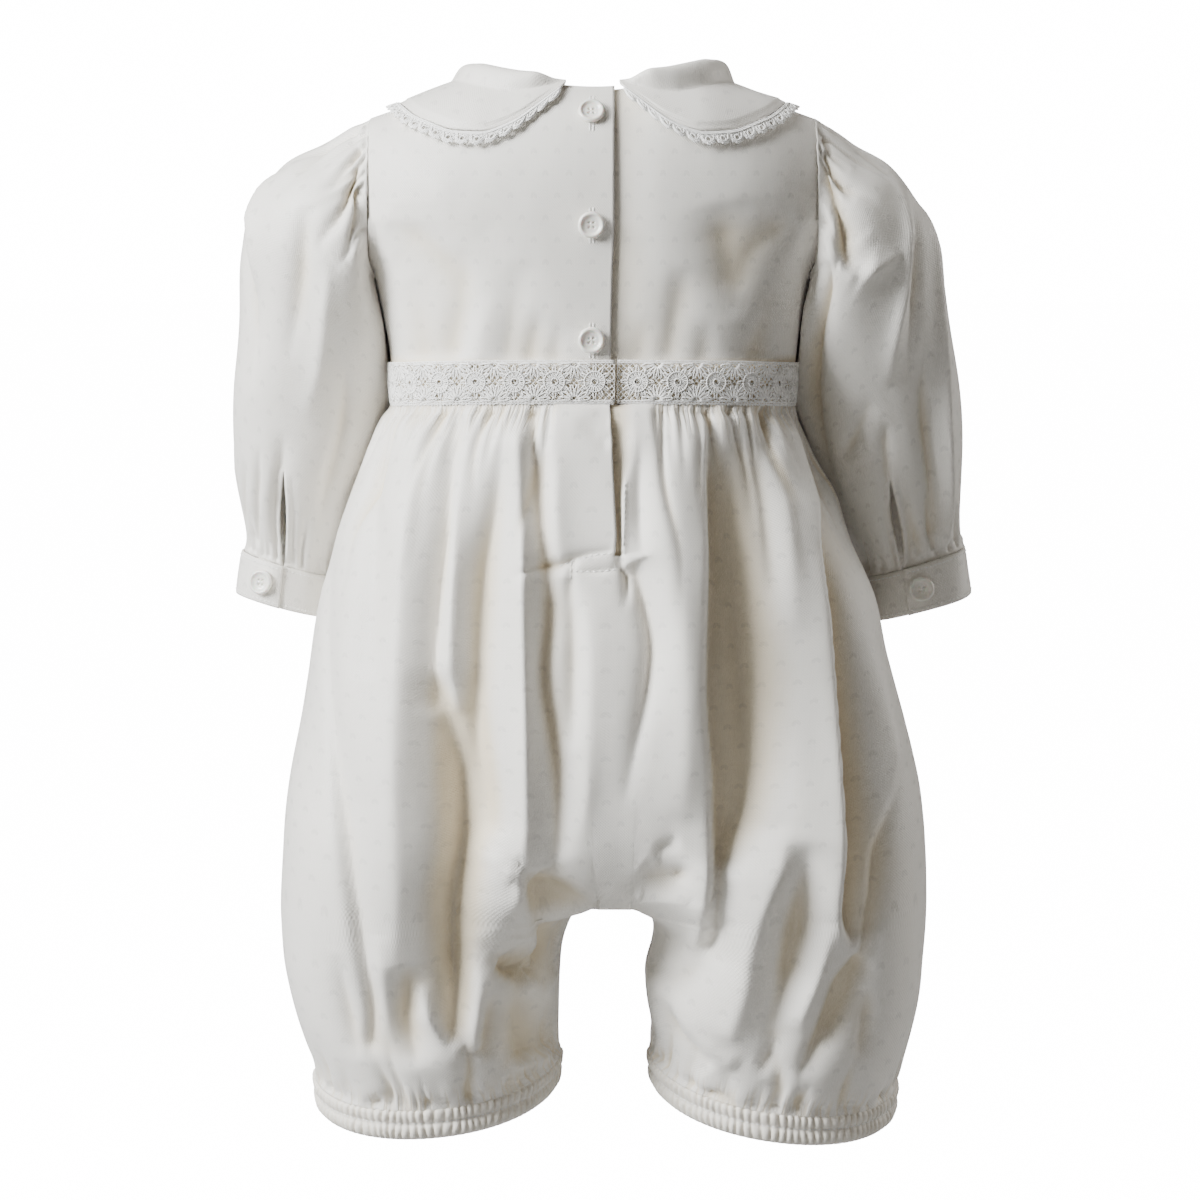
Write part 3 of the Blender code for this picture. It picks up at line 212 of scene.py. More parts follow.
def powered(value, power):
    """The size of value raised to a power, with its sign kept."""
    return np.sign(value) * np.abs(value) ** power


def arch(share, power):
    """The height of a superellipse of size 1 at a share of its half width."""
    return (1.0 - np.clip(np.abs(share), 0.0, 1.0) ** power) ** (1.0 / power)


def spline_weights(places, count):
    """How much of each of count table rows is used at each place, so that the
    curve goes through every row. With s the share from row i to row i + 1, the
    rows i - 1 to i + 2 weigh -s/2 + s2 - s3/2, 1 - 5 s2/2 + 3 s3/2,
    s/2 + 2 s2 - 3 s3/2 and -s2/2 + s3/2, where s2 and s3 are s squared and cubed."""
    places = np.asarray(places, float)
    start = np.clip(places.astype(int), 0, count - 2)
    s = places - start
    parts = (-s / 2 + s**2 - s**3 / 2, 1 - 5 * s**2 / 2 + 3 * s**3 / 2,
             s / 2 + 2 * s**2 - 3 * s**3 / 2, -s**2 / 2 + s**3 / 2)
    weights = np.zeros((len(places), count))
    for offset, part in zip((-1, 0, 1, 2), parts):
        row = np.clip(start + offset, 0, count - 1)
        np.add.at(weights, (np.arange(len(places)), row), part)
    return weights


def waist_lift(y, z):
    """How much the cloth near the waist seam is raised, front and back."""
    above = 1.0 - smoothstep(-128.0, ARMPIT_Z, z)
    below = smoothstep(-205.0, -146.0, z)
    return 3.6 * np.where(z > WAIST_Z, above, below) * (np.abs(y) / 60.0) ** 1.5


def shoulder_height(x):
    """Height of the shoulder line: with n half the neckline's width, it is
    5 - 5 (x / n)^2 above the neck, and then falls by 0.35 (|x| - n)."""
    away = np.abs(x)
    return np.where(away < NECK_HALF, NECK_RISE * (1.0 - (away / NECK_HALF) ** 2),
                    -0.35 * (away - NECK_HALF))


def grid_faces(index):
    """Quads of a grid whose points have these indices."""
    corners = (index[:-1, :-1], index[:-1, 1:], index[1:, 1:], index[1:, :-1])
    return np.stack(corners, axis=-1).reshape(-1, 4)


def sheet_normals(points, faces):
    """The mean direction of the faces around each point, of length 1."""
    corner = points[faces]
    across = np.cross(corner[:, 2] - corner[:, 0], corner[:, 3] - corner[:, 1])
    normals = np.zeros_like(points)
    for k in range(4):
        np.add.at(normals, faces[:, k], across)
    return normals / np.maximum(np.linalg.norm(normals, axis=1, keepdims=True), 1e-9)


def facing(points, faces, outwards):
    """1 where the faces face in this direction on the whole, and -1 where they
    face against it, as the step that turns them over."""
    return 1 if np.sum(sheet_normals(points, faces) * outwards) > 0 else -1


# A crease is a trough, or with negative depths a ridge, along a line of points
# on the cloth. Its depths are spread evenly along it. On each side it dies out
# over its own width, and roundness softens its bottom.
Crease = namedtuple("Crease", "depths left right roundness path")


def crease_height(x, z, creases):
    """Height of the cloth at (x, z): for each crease, at distance d from its
    line, -depth exp(-(sqrt(d2 + r2) - r) / width), where r is its roundness.
    Left is the side of smaller x on a line that runs down."""
    height = np.zeros(len(x))
    for crease in creases:
        knots = np.array(crease.path, float)
        line = spline_weights(np.linspace(0, len(knots) - 1, 6 * len(knots)), len(knots)) @ knots
        reach = 6 * max(crease.left, crease.right) + crease.roundness
        near = np.flatnonzero((x > line[:, 0].min() - reach) & (x < line[:, 0].max() + reach)
                              & (z > line[:, 1].min() - 8) & (z < line[:, 1].max() + 8))
        step = np.diff(line, axis=0)
        offset = np.stack([x[near], z[near]], axis=-1)[:, None] - line[:-1]
        along = np.clip(np.sum(offset * step, -1) / np.sum(step**2, -1), 0, 1)
        gap = offset - along[..., None] * step
        pick = np.sum(gap**2, -1).argmin(axis=1)
        rows = np.arange(len(near))
        gap, along = gap[rows, pick], along[rows, pick]
        side = step[pick, 0] * gap[:, 1] - step[pick, 1] * gap[:, 0]
        width = np.where(side < 0, crease.left, crease.right)
        share = (pick + along) / len(step)
        depth = np.interp(share, np.linspace(0, 1, len(crease.depths)), crease.depths)
        ends = smoothstep(0.0, 0.08, share) * smoothstep(0.0, 0.08, 1 - share)
        far = np.sqrt(np.sum(gap**2, -1) + crease.roundness**2) - crease.roundness
        height[near] -= depth * ends * np.exp(-far / width)
    return height


SHEETS = {}             # each piece's sheet, to find where a stitch meets it


def turned_out(sheet, outwards):
    """The points and the faces of a grid, with the faces turned outwards."""
    points = sheet.reshape(-1, 3)
    faces = grid_faces(np.arange(len(points)).reshape(sheet.shape[:2]))
    outwards = np.broadcast_to(outwards, sheet.shape).reshape(-1, 3)
    return points, faces[:, ::facing(points, faces, outwards)]


def new_piece(name, points, faces, material, slot, *nodes):
    """A smooth mesh of these points, given in millimetres, in place of the
    nodes that it stands for."""
    mesh = bpy.data.meshes.new(name)
    mesh.from_pydata((points * MM).tolist(), [], faces)
    mesh.materials.append(material)
    mesh.shade_smooth()
    piece = bpy.data.objects.new(name, mesh)
    bpy.context.scene.collection.objects.link(piece)
    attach(piece, "root")
    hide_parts(*nodes)
    return piece


def cloth_piece(name, points, faces, place, thickness=0.8, corners=None, depth=None,
                gather=None):
    """A shell of cotton: the sheet given its thickness inwards. place holds
    places on the flat cloth in millimetres, which the material reads. corners
    says which of them each face corner has, where a seam joins two places.
    depth says how much painted shade each point gets, a darker and warmer
    colour, and gather how closely the cloth is gathered there, from 0 to 1."""
    piece = new_piece(name, points, faces.tolist(), COTTON, "cotton", name.replace("-", "_"))
    layer = piece.data.uv_layers.new(name="cloth")
    corners = faces if corners is None else corners
    layer.data.foreach_set("uv", (place * MM)[corners.ravel()].ravel())
    # The share of painted shade and the gathering go on as point attributes for the material.
    for label, values in (("painted shade", depth), ("gather", gather)):
        if values is not None:
            layer = piece.data.attributes.new(label, "FLOAT", "POINT")
            layer.data.foreach_set("value", np.asarray(values, float).ravel())
    wall = piece.modifiers.new("thickness", "SOLIDIFY")
    wall.thickness = thickness * MM
    wall.offset = -1.0
    SHEETS[name] = BVHTree.FromPolygons(points.tolist(), faces.tolist())
    return piece


def bodice_sheet(stations, side):
    """The bodice's sheet on one side. Below the chest each row is a ring,
    (|x| / half width)^2.5 + (|y| / depth)^2.5 = 1, which stops at the armhole,
    the lower half of an ellipse. Above the chest each column curves up to the
    shoulder seam or to the neckline by a superellipse of power 2.6."""
    depth, neck = (BACK_DEPTH, BACK_NECK) if side < 0 else (FRONT_DEPTH, FRONT_NECK)
    away = np.abs(stations)
    turn = np.arcsin((away / BODICE_HALF) ** 1.25)
    edge_turn = turn.max()
    weights = spline_weights(np.linspace(0, 5, 42), 6)
    rows = []
    for z, half in zip(weights @ np.array(RING_Z), weights @ np.array(RING_HALF)):
        edge = pi / 2
        if z > ARMPIT_Z:
            up = (CHEST_Z - z) / (CHEST_Z - ARMPIT_Z)
            edge = np.arccos((ARMHOLE_DEPTH * np.sqrt(1 - min(up, 1) ** 2) / depth) ** 1.25)
        spun = turn * (1.0 + (edge / edge_turn - 1.0) * (turn / edge_turn) ** 2)
        x = np.sign(stations) * half * np.sin(spun) ** 0.8
        y = side * depth * np.clip(np.cos(spun), 0, 1) ** 0.8
        if z > ARMPIT_Z:
            x = x + (np.sign(stations) * ARMHOLE_X - x) * np.isclose(turn, edge_turn)
        rows.append(np.stack([x, y, z + waist_lift(y, z)], axis=1))
    neck_y = neck * np.sqrt(np.clip(1 - (away / NECK_HALF) ** 2, 0, 1))
    column_depth = depth * arch(stations / BODICE_HALF, BODY_POWER)
    top = arch(neck_y / column_depth, SHOULDER_POWER)
    for share in np.sin(np.linspace(0, 1, 44)[1:] * pi / 2):
        rise = top * share
        z = CHEST_Z + rise * (shoulder_height(stations) - CHEST_Z)
        y = side * column_depth * arch(rise, SHOULDER_POWER)
        rows.append(np.stack([stations, y, z], axis=1))
    sheet = np.array(rows)
    sheet[..., 1] = side * np.maximum(side * sheet[..., 1], EDGE_Y)
    return sheet


def flap_sink(x):
    """The right back lies below the flap, and comes up level further out."""
    return 1.8 * (1 - smoothstep(FLAP_X, FLAP_X + 22.0, x))


def bodice_panel(name, stations, side, creases, sink):
    """One panel: its sheet, moved out along its normals by 1.25 times its
    creases and by a low wave, 0.5 sin(x / 13 + z / 31) sin(z / 17), and in by
    its sink. Below the lace it lies flat."""
    sheet = bodice_sheet(stations, side)
    points, faces = turned_out(sheet, [0, side, 0.2])
    normals = sheet_normals(points, faces)
    height = crease_height(points[:, 0], points[:, 2], creases)
    broad = 0.5 * np.sin(points[:, 0] / 13.0 + points[:, 2] / 31.0) * np.sin(points[:, 2] / 17.0)
    inside = smoothstep(0.0, 12.0, np.abs(points[:, 1])) * smoothstep(-121.0, -115.0, points[:, 2])
    height = (1.25 * height + broad) * inside - sink(points[:, 0])
    points = points + normals * height[:, None]
    place = np.stack([sheet[..., 0] * 1.25, sheet[..., 2]], axis=-1).reshape(-1, 2)
    # Painted shade: darker, warmer colour in the creases' troughs, and all over the band under the waist
    # lace, where the lace shades the cloth.
    shade = np.maximum(smoothstep(0.5, 4.0, -height), smoothstep(-116.0, -119.0, points[:, 2]))
    return cloth_piece(name, points, faces, place, depth=shade)


BACK_CREASES = (
    Crease((0, 2.4, 1.6, 0), 6, 5, 3, [(-60, -134), (-58, -112), (-54, -92), (-52, -70)]),
    Crease((0, -1.6, -1.2, 0), 7, 5, 3, [(-49, -134), (-47, -112), (-44, -90)]),
    Crease((0, 1.8, 1.0, 0), 5, 5, 3, [(-36, -134), (-35, -112), (-31, -88), (-30, -76)]),
    Crease((0, 1.8, 1.4, 0), 4, 4, 2, [(-26, -134), (-25, -112), (-21, -96)]),
    Crease((0, 1.4, 0.8, 0), 4, 4, 2, [(-17, -134), (-15, -112), (-12, -100)]),
    Crease((0, 2.0, 1.2, 0), 6, 6, 3, [(-74, -134), (-72, -116), (-74, -98), (-80, -86)]),
    Crease((0, 1.6, 1.2, 0), 7, 5, 3, [(-86, -62), (-74, -66), (-60, -78), (-52, -90)]),
    Crease((0, -1.0, 0), 8, 8, 4, [(-80, -40), (-62, -50), (-46, -66)]),
    Crease((0, 2.6, 2.4, 0), 9, 8, 5, [(52, -52), (56, -74), (62, -100)]),
    Crease((0, 1.8, 1.4, 0), 5, 5, 3, [(30, -134), (32, -112), (36, -90), (38, -78)]),
    Crease((0, 1.4, 1.0, 0), 4, 4, 2, [(45, -134), (46, -114), (48, -100)]),
    Crease((0, 1.8, 1.2, 0), 6, 5, 3, [(66, -134), (68, -114), (74, -96), (80, -86)]),
    Crease((0, 1.5, 1.2, 0), 6, 5, 3, [(86, -60), (76, -64), (66, -74), (60, -90)]),
    Crease((0, 1.0, 1.0, 0), 5, 5, 3, [(18, -134), (19, -116), (22, -98)]),
)
FRONT_CREASES = (
    Crease((0, 2.2, 1.6, 0), 6, 5, 3, [(-62, -134), (-60, -112), (-56, -86)]),
    Crease((0, 1.8, 1.2, 0), 5, 5, 3, [(-38, -134), (-37, -110), (-33, -84)]),
    Crease((0, 1.4, 1.0, 0), 4, 4, 2, [(-14, -134), (-13, -112), (-10, -98)]),
    Crease((0, 1.8, 1.4, 0), 5, 5, 3, [(11, -134), (12, -110), (14, -86)]),
    Crease((0, 1.6, 1.2, 0), 5, 4, 2, [(35, -134), (36, -112), (32, -90)]),
    Crease((0, 2.0, 1.4, 0), 6, 6, 3, [(60, -134), (61, -112), (66, -90)]),
    Crease((0, 1.6, 1.2, 0), 7, 5, 3, [(-86, -62), (-74, -66), (-60, -76)]),
    Crease((0, 1.6, 1.2, 0), 5, 7, 3, [(86, -62), (74, -67), (62, -78)]),
)


def make_bodice():
    """The stations across are closest at the neckline's corner, and even in
    angle from there to the armhole."""
    inside = NECK_HALF * np.sin(np.linspace(0.0, pi / 2, 34))
    ends = [np.arccos((x / BODICE_HALF) ** 1.25) for x in (NECK_HALF, ARMHOLE_X)]
    turns = np.linspace(*ends, 40)[1:]
    away = np.concatenate([inside, BODICE_HALF * np.cos(turns) ** 0.8])
    left = np.concatenate([-away[::-1], np.linspace(0.0, FLAP_X, 8)[1:]])
    right = np.concatenate([np.linspace(-14.0, FLAP_X - 2.0, 14), away[away > FLAP_X - 1.0]])
    both = np.concatenate([-away[:0:-1], away])
    level = bodice_panel("back-bodice-left", left, -1, BACK_CREASES, lambda x: 0.0 * x)
    under = bodice_panel("back-bodice-right", right, -1, BACK_CREASES, flap_sink)
    return bodice_panel("front-bodice", both, 1, FRONT_CREASES, lambda x: 0.0 * x)


FRONT_BODICE = make_bodice()


# --------------------------------------------------------- skirt and bubble legs
# The skirt is cut in two, back and front, and runs down into two wide legs.
# Both are gathered hard into the waist seam and into the hems, so that the cloth
# between them hangs in long folds that roll under above each hem. The back is
# open down to a stitched end, with the flap's edge folded under.
CENTRE_X = 9.0         # line of the slit, the seat and the crotch
FORK_Z = -298.0        # from here down the seat turns under and the legs part
CROTCH_Z = -352.0
SLIT_END_Z = -196.0
HEM_TOP_Z = -418.5
SKIRT_CELLS = 122      # across half a panel
WEB_CELLS = 6          # and how many of them lie between the legs

# Height in the middle and at the side seam, where the side seams lie, where the
# flat middle of the seat or the inseams lie, and the depth of back and front.
SkirtRow = namedtuple("SkirtRow", "z z_side left right inner_left inner_right back front")
SKIRT_ROWS = (
    SkirtRow(-138.4, -138.4, -85.2, 85.2, 2.0, 16.0, 60.0, 58.0),
    SkirtRow(-143.0, -143.0, -89.0, 87.0, 2.0, 16.0, 62.5, 60.5),
    SkirtRow(-152.0, -152.0, -94.3, 91.0, 2.0, 16.0, 66.0, 64.5),
    SkirtRow(-165.0, -165.0, -99.6, 96.3, 2.0, 16.0, 69.5, 68.5),
    SkirtRow(-182.0, -182.0, -106.0, 103.3, 2.0, 16.0, 73.5, 72.0),
    SkirtRow(SLIT_END_Z, SLIT_END_Z, -110.5, 110.0, 2.0, 16.0, 76.0, 74.5),
    SkirtRow(-220.0, -220.0, -116.0, 121.0, 2.0, 16.0, 79.5, 78.5),
    SkirtRow(-250.0, -246.0, -121.2, 126.5, 2.0, 16.0, 83.0, 82.0),
    SkirtRow(-280.0, -272.0, -125.6, 133.2, 2.0, 16.0, 84.5, 83.5),
    SkirtRow(-306.0, -296.0, -129.7, 139.6, 2.0, 16.0, 84.0, 83.0),
    SkirtRow(-326.0, -314.0, -132.5, 142.4, 2.0, 16.0, 82.5, 81.5),
    SkirtRow(-339.0, -328.0, -133.8, 143.7, 2.0, 16.0, 80.8, 79.8),
    SkirtRow(-347.0, -338.0, -134.4, 144.3, 2.0, 16.0, 79.4, 78.4),
    SkirtRow(-351.0, -346.0, -134.6, 144.5, 2.0, 16.0, 78.4, 77.4),
    SkirtRow(CROTCH_Z, -353.0, -134.5, 144.6, 2.0, 16.0, 77.6, 76.6),
    SkirtRow(-353.6, -360.0, -134.0, 144.3, -2.5, 20.5, 76.6, 75.6),
    SkirtRow(-357.5, -367.0, -133.4, 143.6, -7.5, 24.2, 75.4, 74.4),
    SkirtRow(-363.5, -375.0, -132.5, 142.5, -10.8, 26.0, 73.8, 72.8),
    SkirtRow(-372.0, -383.5, -130.7, 141.4, -13.3, 25.2, 72.0, 71.0),
    SkirtRow(-383.5, -393.0, -128.0, 139.6, -14.3, 22.6, 70.0, 69.0),
    SkirtRow(-395.0, -401.5, -125.0, 137.6, -14.7, 23.2, 67.5, 66.5),
    SkirtRow(-405.0, -408.5, -122.4, 135.4, -14.9, 25.0, 64.0, 63.0),
    SkirtRow(-413.0, -414.0, -120.8, 132.8, -15.1, 25.4, 60.0, 59.0),
    SkirtRow(HEM_TOP_Z, HEM_TOP_Z, -120.0, 131.0, -15.2, 25.4, 56.0, 55.0),
)
WAIST_TOP_Z = SKIRT_ROWS[0].z
CROTCH_ROW = [row.z for row in SKIRT_ROWS].index(CROTCH_Z)

SKIRT_BACK_CREASES = (
    # left half, from the side to the slit
    Crease((1, 2, 3, 4, 4, 4, 3), 1.8, 9, 1.0, [(-111, -190), (-110, -240), (-107, -280), (-102, -316),
        (-97, -352), (-93, -388), (-96, -408)]),
    Crease((0, -3, -2, 0), 9, 8, 4, [(-98, -170), (-99, -215), (-100, -260), (-93, -300)]),
    Crease((0, 3, 4, 2, 0), 4, 5, 2, [(-88, -142), (-91, -170), (-90, -210), (-92, -250)]),
    Crease((-1, -4, -5, -5, -4, -3, -1), 12, 7, 3, [(-66, -141), (-73, -170), (-77, -210), (-79, -257),
        (-81, -300), (-81, -338), (-84, -385)]),
    Crease((3, 5, 6, 6, 5, 2), 4, 3.5, 1, [(-54, -137), (-58, -160), (-61, -190), (-64, -215),
        (-66, -240), (-66, -262)]),
    Crease((1, 7, 12, 14, 14, 13, 9, 5), 7, 8, 2.5, [(-65, -240), (-61, -262), (-56, -285), (-54, -313),
        (-57, -338), (-55, -362), (-56, -387), (-61, -407)]),
    Crease((0, 3, 4, 3, 0), 7, 6, 4, [(18, -326), (26, -330), (34, -328), (42, -322)]),
    Crease((0, -3, -4, -3, -1), 3, 4, 1.2, [(-57, -150), (-57, -174), (-57, -205), (-58, -240),
        (-57, -262)]),
    Crease((0, 5, 7, 7, 6, 4, 0), 5, 7, 2, [(-36, -143), (-40, -175), (-46, -205), (-48, -240),
        (-48, -275), (-44, -298), (-42, -314)]),
    Crease((-2, -4, -6, -7, -7, -5, -3), 6, 4, 1.0, [(-31, -141), (-29, -178), (-28, -219), (-27, -260),
        (-27, -297), (-28, -326)]),
    Crease((1, 5, 6, 6, 6, 4, 1), 4, 3.5, 1.5, [(-23, -148), (-22, -178), (-18, -215), (-20, -245),
        (-15, -280), (-14, -313), (-17, -328)]),
    Crease((0, -2, -2, 0), 4, 4, 2, [(-15, -150), (-15, -182), (-13, -200)]),
    Crease((0, 3, 4, 3, 0), 4, 3, 1.5, [(-10, -203), (-8, -226), (-8, -250), (-9, -275)]),
    Crease((0, -1.5, -2, 0), 5, 5, 2, [(-1, -210), (-1, -250), (-2, -290), (-6, -316)]),
    Crease((0, 1.4, 1.2), 1.6, 2.2, 0.4, [(-7, -142), (0, -146), (7, -151)]),
    Crease((0, 1.0, 0.8), 1.6, 1.6, 0.4, [(-3, -138), (2, -139), (7, -141)]),
    Crease((0, 2.2, 2.6, 2.2, 1.2, 0.8), 1.5, 1.5, 0.4, [(-34, -206), (-22, -200), (-13, -199),
        (-8, -196.6), (0, -194.5), (10, -193)]),
    Crease((0, -1.2, 0), 5, 5, 3, [(-30, -203), (-20, -205), (-14, -203)]),
    Crease((1, 1.4, 0), 1.2, 1.6, 0.4, [(-8, -197), (-9, -206), (-9.5, -215)]),
    Crease((0, 1, 1.2, 1), 1.2, 2.4, 0.4, [(-7, -201.5), (0, -202), (10, -201)]),
    Crease((2, 3, 3.5, 2, 0), 1.6, 1.4, 0.4, [(11, -194), (11.4, -200), (13.8, -204), (14, -210),
        (13.5, -217)]),
    # right half, from the slit to the side
    Crease((1, 4, 5, 5, 4, 2, 0), 3, 4, 1.2, [(16, -198), (18, -203), (21, -215), (24, -232), (22, -252),
        (17, -276), (13, -300)]),
    Crease((0, -3, -4, -4, -3, 0), 8, 7, 4, [(30, -148), (32, -182), (36, -226), (38, -257), (38, -285),
        (35, -306)]),
    Crease((0, 2, 3, 0), 3, 3, 1.2, [(20, -150), (19, -172), (20, -196)]),
    Crease((-1, -3, -4, -4, -4, -4, -3, 0), 10, 1.6, 0.6, [(46, -137), (46, -165), (47, -194), (45, -249),
        (48, -289), (48, -328), (46, -354), (42, -366)]),
    Crease((1, 4, 5, 5, 5, 6, 5, 1), 1.6, 5, 1.0, [(48, -137), (49, -165), (50, -194), (48, -249),
        (51, -289), (51, -328), (49, -354), (46, -368)]),
    Crease((2, 6, 9, 10, 9, 6, 1), 10, 11, 4, [(57, -140), (60, -180), (62, -220), (64, -250), (64, -282),
        (58, -308), (54, -328)]),
    Crease((0, 2, 2, 0), 2, 3, 1, [(69, -140), (71, -160), (74, -190), (76, -214)]),
    Crease((0, -3, -3, -2, 0), 5, 5, 2, [(74, -140), (79, -165), (81, -190), (84, -230)]),
    Crease((-1, -3, -4, -4, -5, -5, -3, -1), 8, 1.6, 0.6, [(81, -138), (90, -163), (93, -194), (97, -226),
        (100, -265), (102, -296), (103, -320), (102, -346), (106, -360)]),
    Crease((1, 5, 8, 10, 11, 11, 8, 1), 1.6, 8, 1.2, [(84, -139), (93, -163), (97, -194), (101, -226),
        (104, -265), (106, -296), (107, -320), (106, -346), (110, -360)]),
    Crease((0, -2, -3, -3, -2, 0), 5, 5, 2.5, [(116, -226), (121, -256), (125, -280), (127, -298),
        (122, -320)]),
    Crease((0, 3, 4, 4, 3, 1), 3, 4, 1.2, [(128, -280), (127, -298), (122, -317), (119, -340),
        (112, -367), (103, -389), (97, -402)]),
    # the rolled-under lower edge of the left leg
    Crease((0, -2, -3, -2), 5, 5, 2, [(-54, -316), (-42, -321), (-32, -325)]),
    Crease((-3, -5, -5, -3, 0), 6, 1.8, 0.7, [(-31, -322), (-28, -334), (-24, -348), (-21, -358),
        (-22, -366)]),
    Crease((2, 7, 9, 9, 6, 2), 1.8, 13, 1.0, [(-29, -325), (-25.6, -337), (-21.5, -354), (-18.7, -364),
        (-19.5, -371), (-24, -374)]),
    Crease((2, 6, 8, 6, 3), 10, 5, 3, [(-26, -332), (-18, -337), (-8, -343), (2, -348)]),
    Crease((3, 6, 6, 2), 8, 2.5, 1.2, [(-20, -373), (-26, -374.5), (-33, -371), (-38, -367)]),
    Crease((0, 5, 6, 5, 0), 2.5, 3, 1.0, [(-40, -362), (-35, -368), (-29, -370), (-24, -369),
        (-18, -366)]),
    Crease((1, 5, 6, 5, 1), 5, 5, 2, [(-78, -366), (-77, -380), (-77, -393), (-72, -410)]),
    Crease((0, -4, -4, -2), 3, 3, 1.0, [(-71, -374), (-69, -388), (-62, -399), (-54, -405)]),
    Crease((0, -4, -5, -3), 5, 4, 1.5, [(-47, -350), (-47, -372), (-48, -390), (-50, -406)]),
    Crease((1, 6, 8, 6), 7, 8, 3, [(-30, -374), (-28, -390), (-26, -404), (-25, -416)]),
    Crease((0, 3, 4, 2), 3, 3, 1.2, [(-41, -380), (-42, -394), (-44, -410)]),
    Crease((0, 2, 3, 1), 3, 3, 1.2, [(-106, -362), (-104, -384), (-100, -408)]),
    Crease((0, -2, -2, 0), 4, 4, 2, [(-88, -352), (-87, -380), (-86, -404)]),
    # and of the right leg
    Crease((0, 2, 3, 2, 0), 3, 3, 1.2, [(23, -376), (34, -376), (42, -370), (47, -363)]),
    Crease((0, 3, 3, 2), 3, 3, 1.2, [(27, -384), (32, -397), (39, -405), (50, -414)]),
    Crease((0, -2, -3, -2), 3, 3, 1.5, [(34, -382), (40, -393), (49, -402), (60, -411)]),
    Crease((0, -4, -6, -6, -5, -3), 13, 5, 2.0, [(80, -306), (77, -324), (71, -340), (67, -360),
        (63, -380), (56, -402)]),
    Crease((0, 5, 8, 8, 5, 1), 6, 8, 2.0, [(89, -312), (86, -336), (81, -360), (78, -380), (72, -402)]),
    Crease((0, -3, -4, -2), 6, 4, 1.5, [(99, -348), (96, -362), (91, -378), (84, -394)]),
    Crease((2, 5, 6, 5, 1), 3, 6, 1.0, [(113, -363), (103, -375), (98, -389), (92, -403), (86, -416)]),
    Crease((0, 2, 3, 1), 2.5, 2.5, 1, [(77, -394), (74, -404), (70, -414)]),
    Crease((0, 2, 2, 0), 2, 2, 0.8, [(25, -318), (31, -314), (36, -312)]),
    Crease((0, 2, 2, 0), 2, 2, 0.8, [(32, -330), (40, -325)]),
    Crease((0, 3, 3, 1), 3, 3, 1.2, [(117, -378), (116, -395), (114, -409)]),
)
SKIRT_FRONT_CREASES = (
    Crease((2, 4, 7, 8, 7, 5, 2), 5, 5, 1.5, [(-58, -139), (-62, -190), (-66, -240), (-68, -290),
        (-64, -330), (-66, -372), (-64, -398)]),
    Crease((-1, -3, -4, -3, 0), 8, 7, 4, [(-76, -141), (-84, -190), (-86, -250), (-84, -320)]),
    Crease((0, 4, 5, 4, 0), 5, 4, 1.5, [(-36, -141), (-40, -180), (-48, -220), (-50, -262)]),
    Crease((-1, -3, -4, -5, -3), 5, 2.6, 0.8, [(-27, -141), (-28, -190), (-30, -250), (-31, -290),
        (-27, -330)]),
    Crease((1, 5, 5, 4, 1), 2.5, 6, 1.2, [(-21, -141), (-22, -190), (-24, -250), (-24, -306)]),
    Crease((0, 3, 4, 2, 0), 4, 4, 1.5, [(-2, -139), (-3, -180), (-7, -230), (-6, -276)]),
    Crease((0, -2, -2, -2, 0), 5, 5, 2, [(8, -150), (8, -200), (10, -250), (9, -300)]),
    Crease((1, 4, 6, 6, 4, 1), 3, 6, 1.2, [(23, -139), (26, -180), (26, -226), (29, -270), (27, -318)]),
    Crease((0, -3, -3, -3, 0), 7, 7, 3, [(38, -150), (42, -200), (44, -260), (42, -316)]),
    Crease((1, 5, 8, 8, 6, 2), 4, 5, 1.2, [(53, -139), (57, -190), (63, -240), (67, -290), (66, -340),
        (60, -392)]),
    Crease((-1, -3, -4, -4, 0), 8, 3, 1.0, [(76, -139), (84, -190), (88, -250), (90, -320)]),
    Crease((1, 5, 7, 7, 5, 1), 2.5, 7, 1.5, [(81, -139), (90, -190), (95, -250), (98, -310),
        (103, -362)]),
    Crease((1, 4, 6, 6, 4, 1), 7, 3, 1.5, [(-84, -142), (-97, -190), (-105, -250), (-108, -310),
        (-104, -366)]),
    Crease((0, -3, -3, 0), 5, 5, 2.5, [(116, -230), (122, -270), (124, -312)]),
    Crease((-3, -4, -4, -2, 0), 1.6, 5, 0.7, [(44, -326), (43, -338), (40, -352), (38, -364)]),
    Crease((2, 7, 8, 5, 1), 6, 1.6, 1.0, [(41, -326), (40, -338), (37, -352), (35, -366)]),
    Crease((2, 6, 7, 5, 1), 1.6, 6, 1.0, [(-26, -328), (-24, -342), (-20, -356), (-19, -368)]),
    Crease((0, 4, 5, 4, 0), 2.5, 3, 1.0, [(-42, -366), (-36, -371), (-29, -372), (-22, -368)]),
    Crease((0, 4, 5, 4, 1), 6, 6, 3, [(-86, -374), (-84, -390), (-80, -414)]),
    Crease((0, 4, 5, 4, 1), 6, 5, 3, [(96, -370), (92, -390), (86, -414)]),
    Crease((0, -3, -3, -2), 3, 3, 1.2, [(-70, -380), (-63, -392), (-54, -404)]),
    Crease((0, 3, 3, 2), 3, 3, 1.2, [(32, -382), (39, -396), (47, -408)]),
    Crease((0, 4, 5, 3), 4, 4, 1.5, [(-44, -374), (-42, -390), (-43, -410)]),
    Crease((0, 4, 5, 4, 1), 3, 5, 1.2, [(72, -350), (70, -372), (66, -392), (60, -408)]),
    Crease((0, 3, 3, 1), 3, 3, 1.2, [(118, -372), (116, -395), (112, -410)]),
)


def skirt_curves(places):
    """Every column of the table at these row numbers, each upright."""
    return SkirtRow(*(spline_weights(places, len(SKIRT_ROWS)) @ np.array(SKIRT_ROWS)).T[..., None])


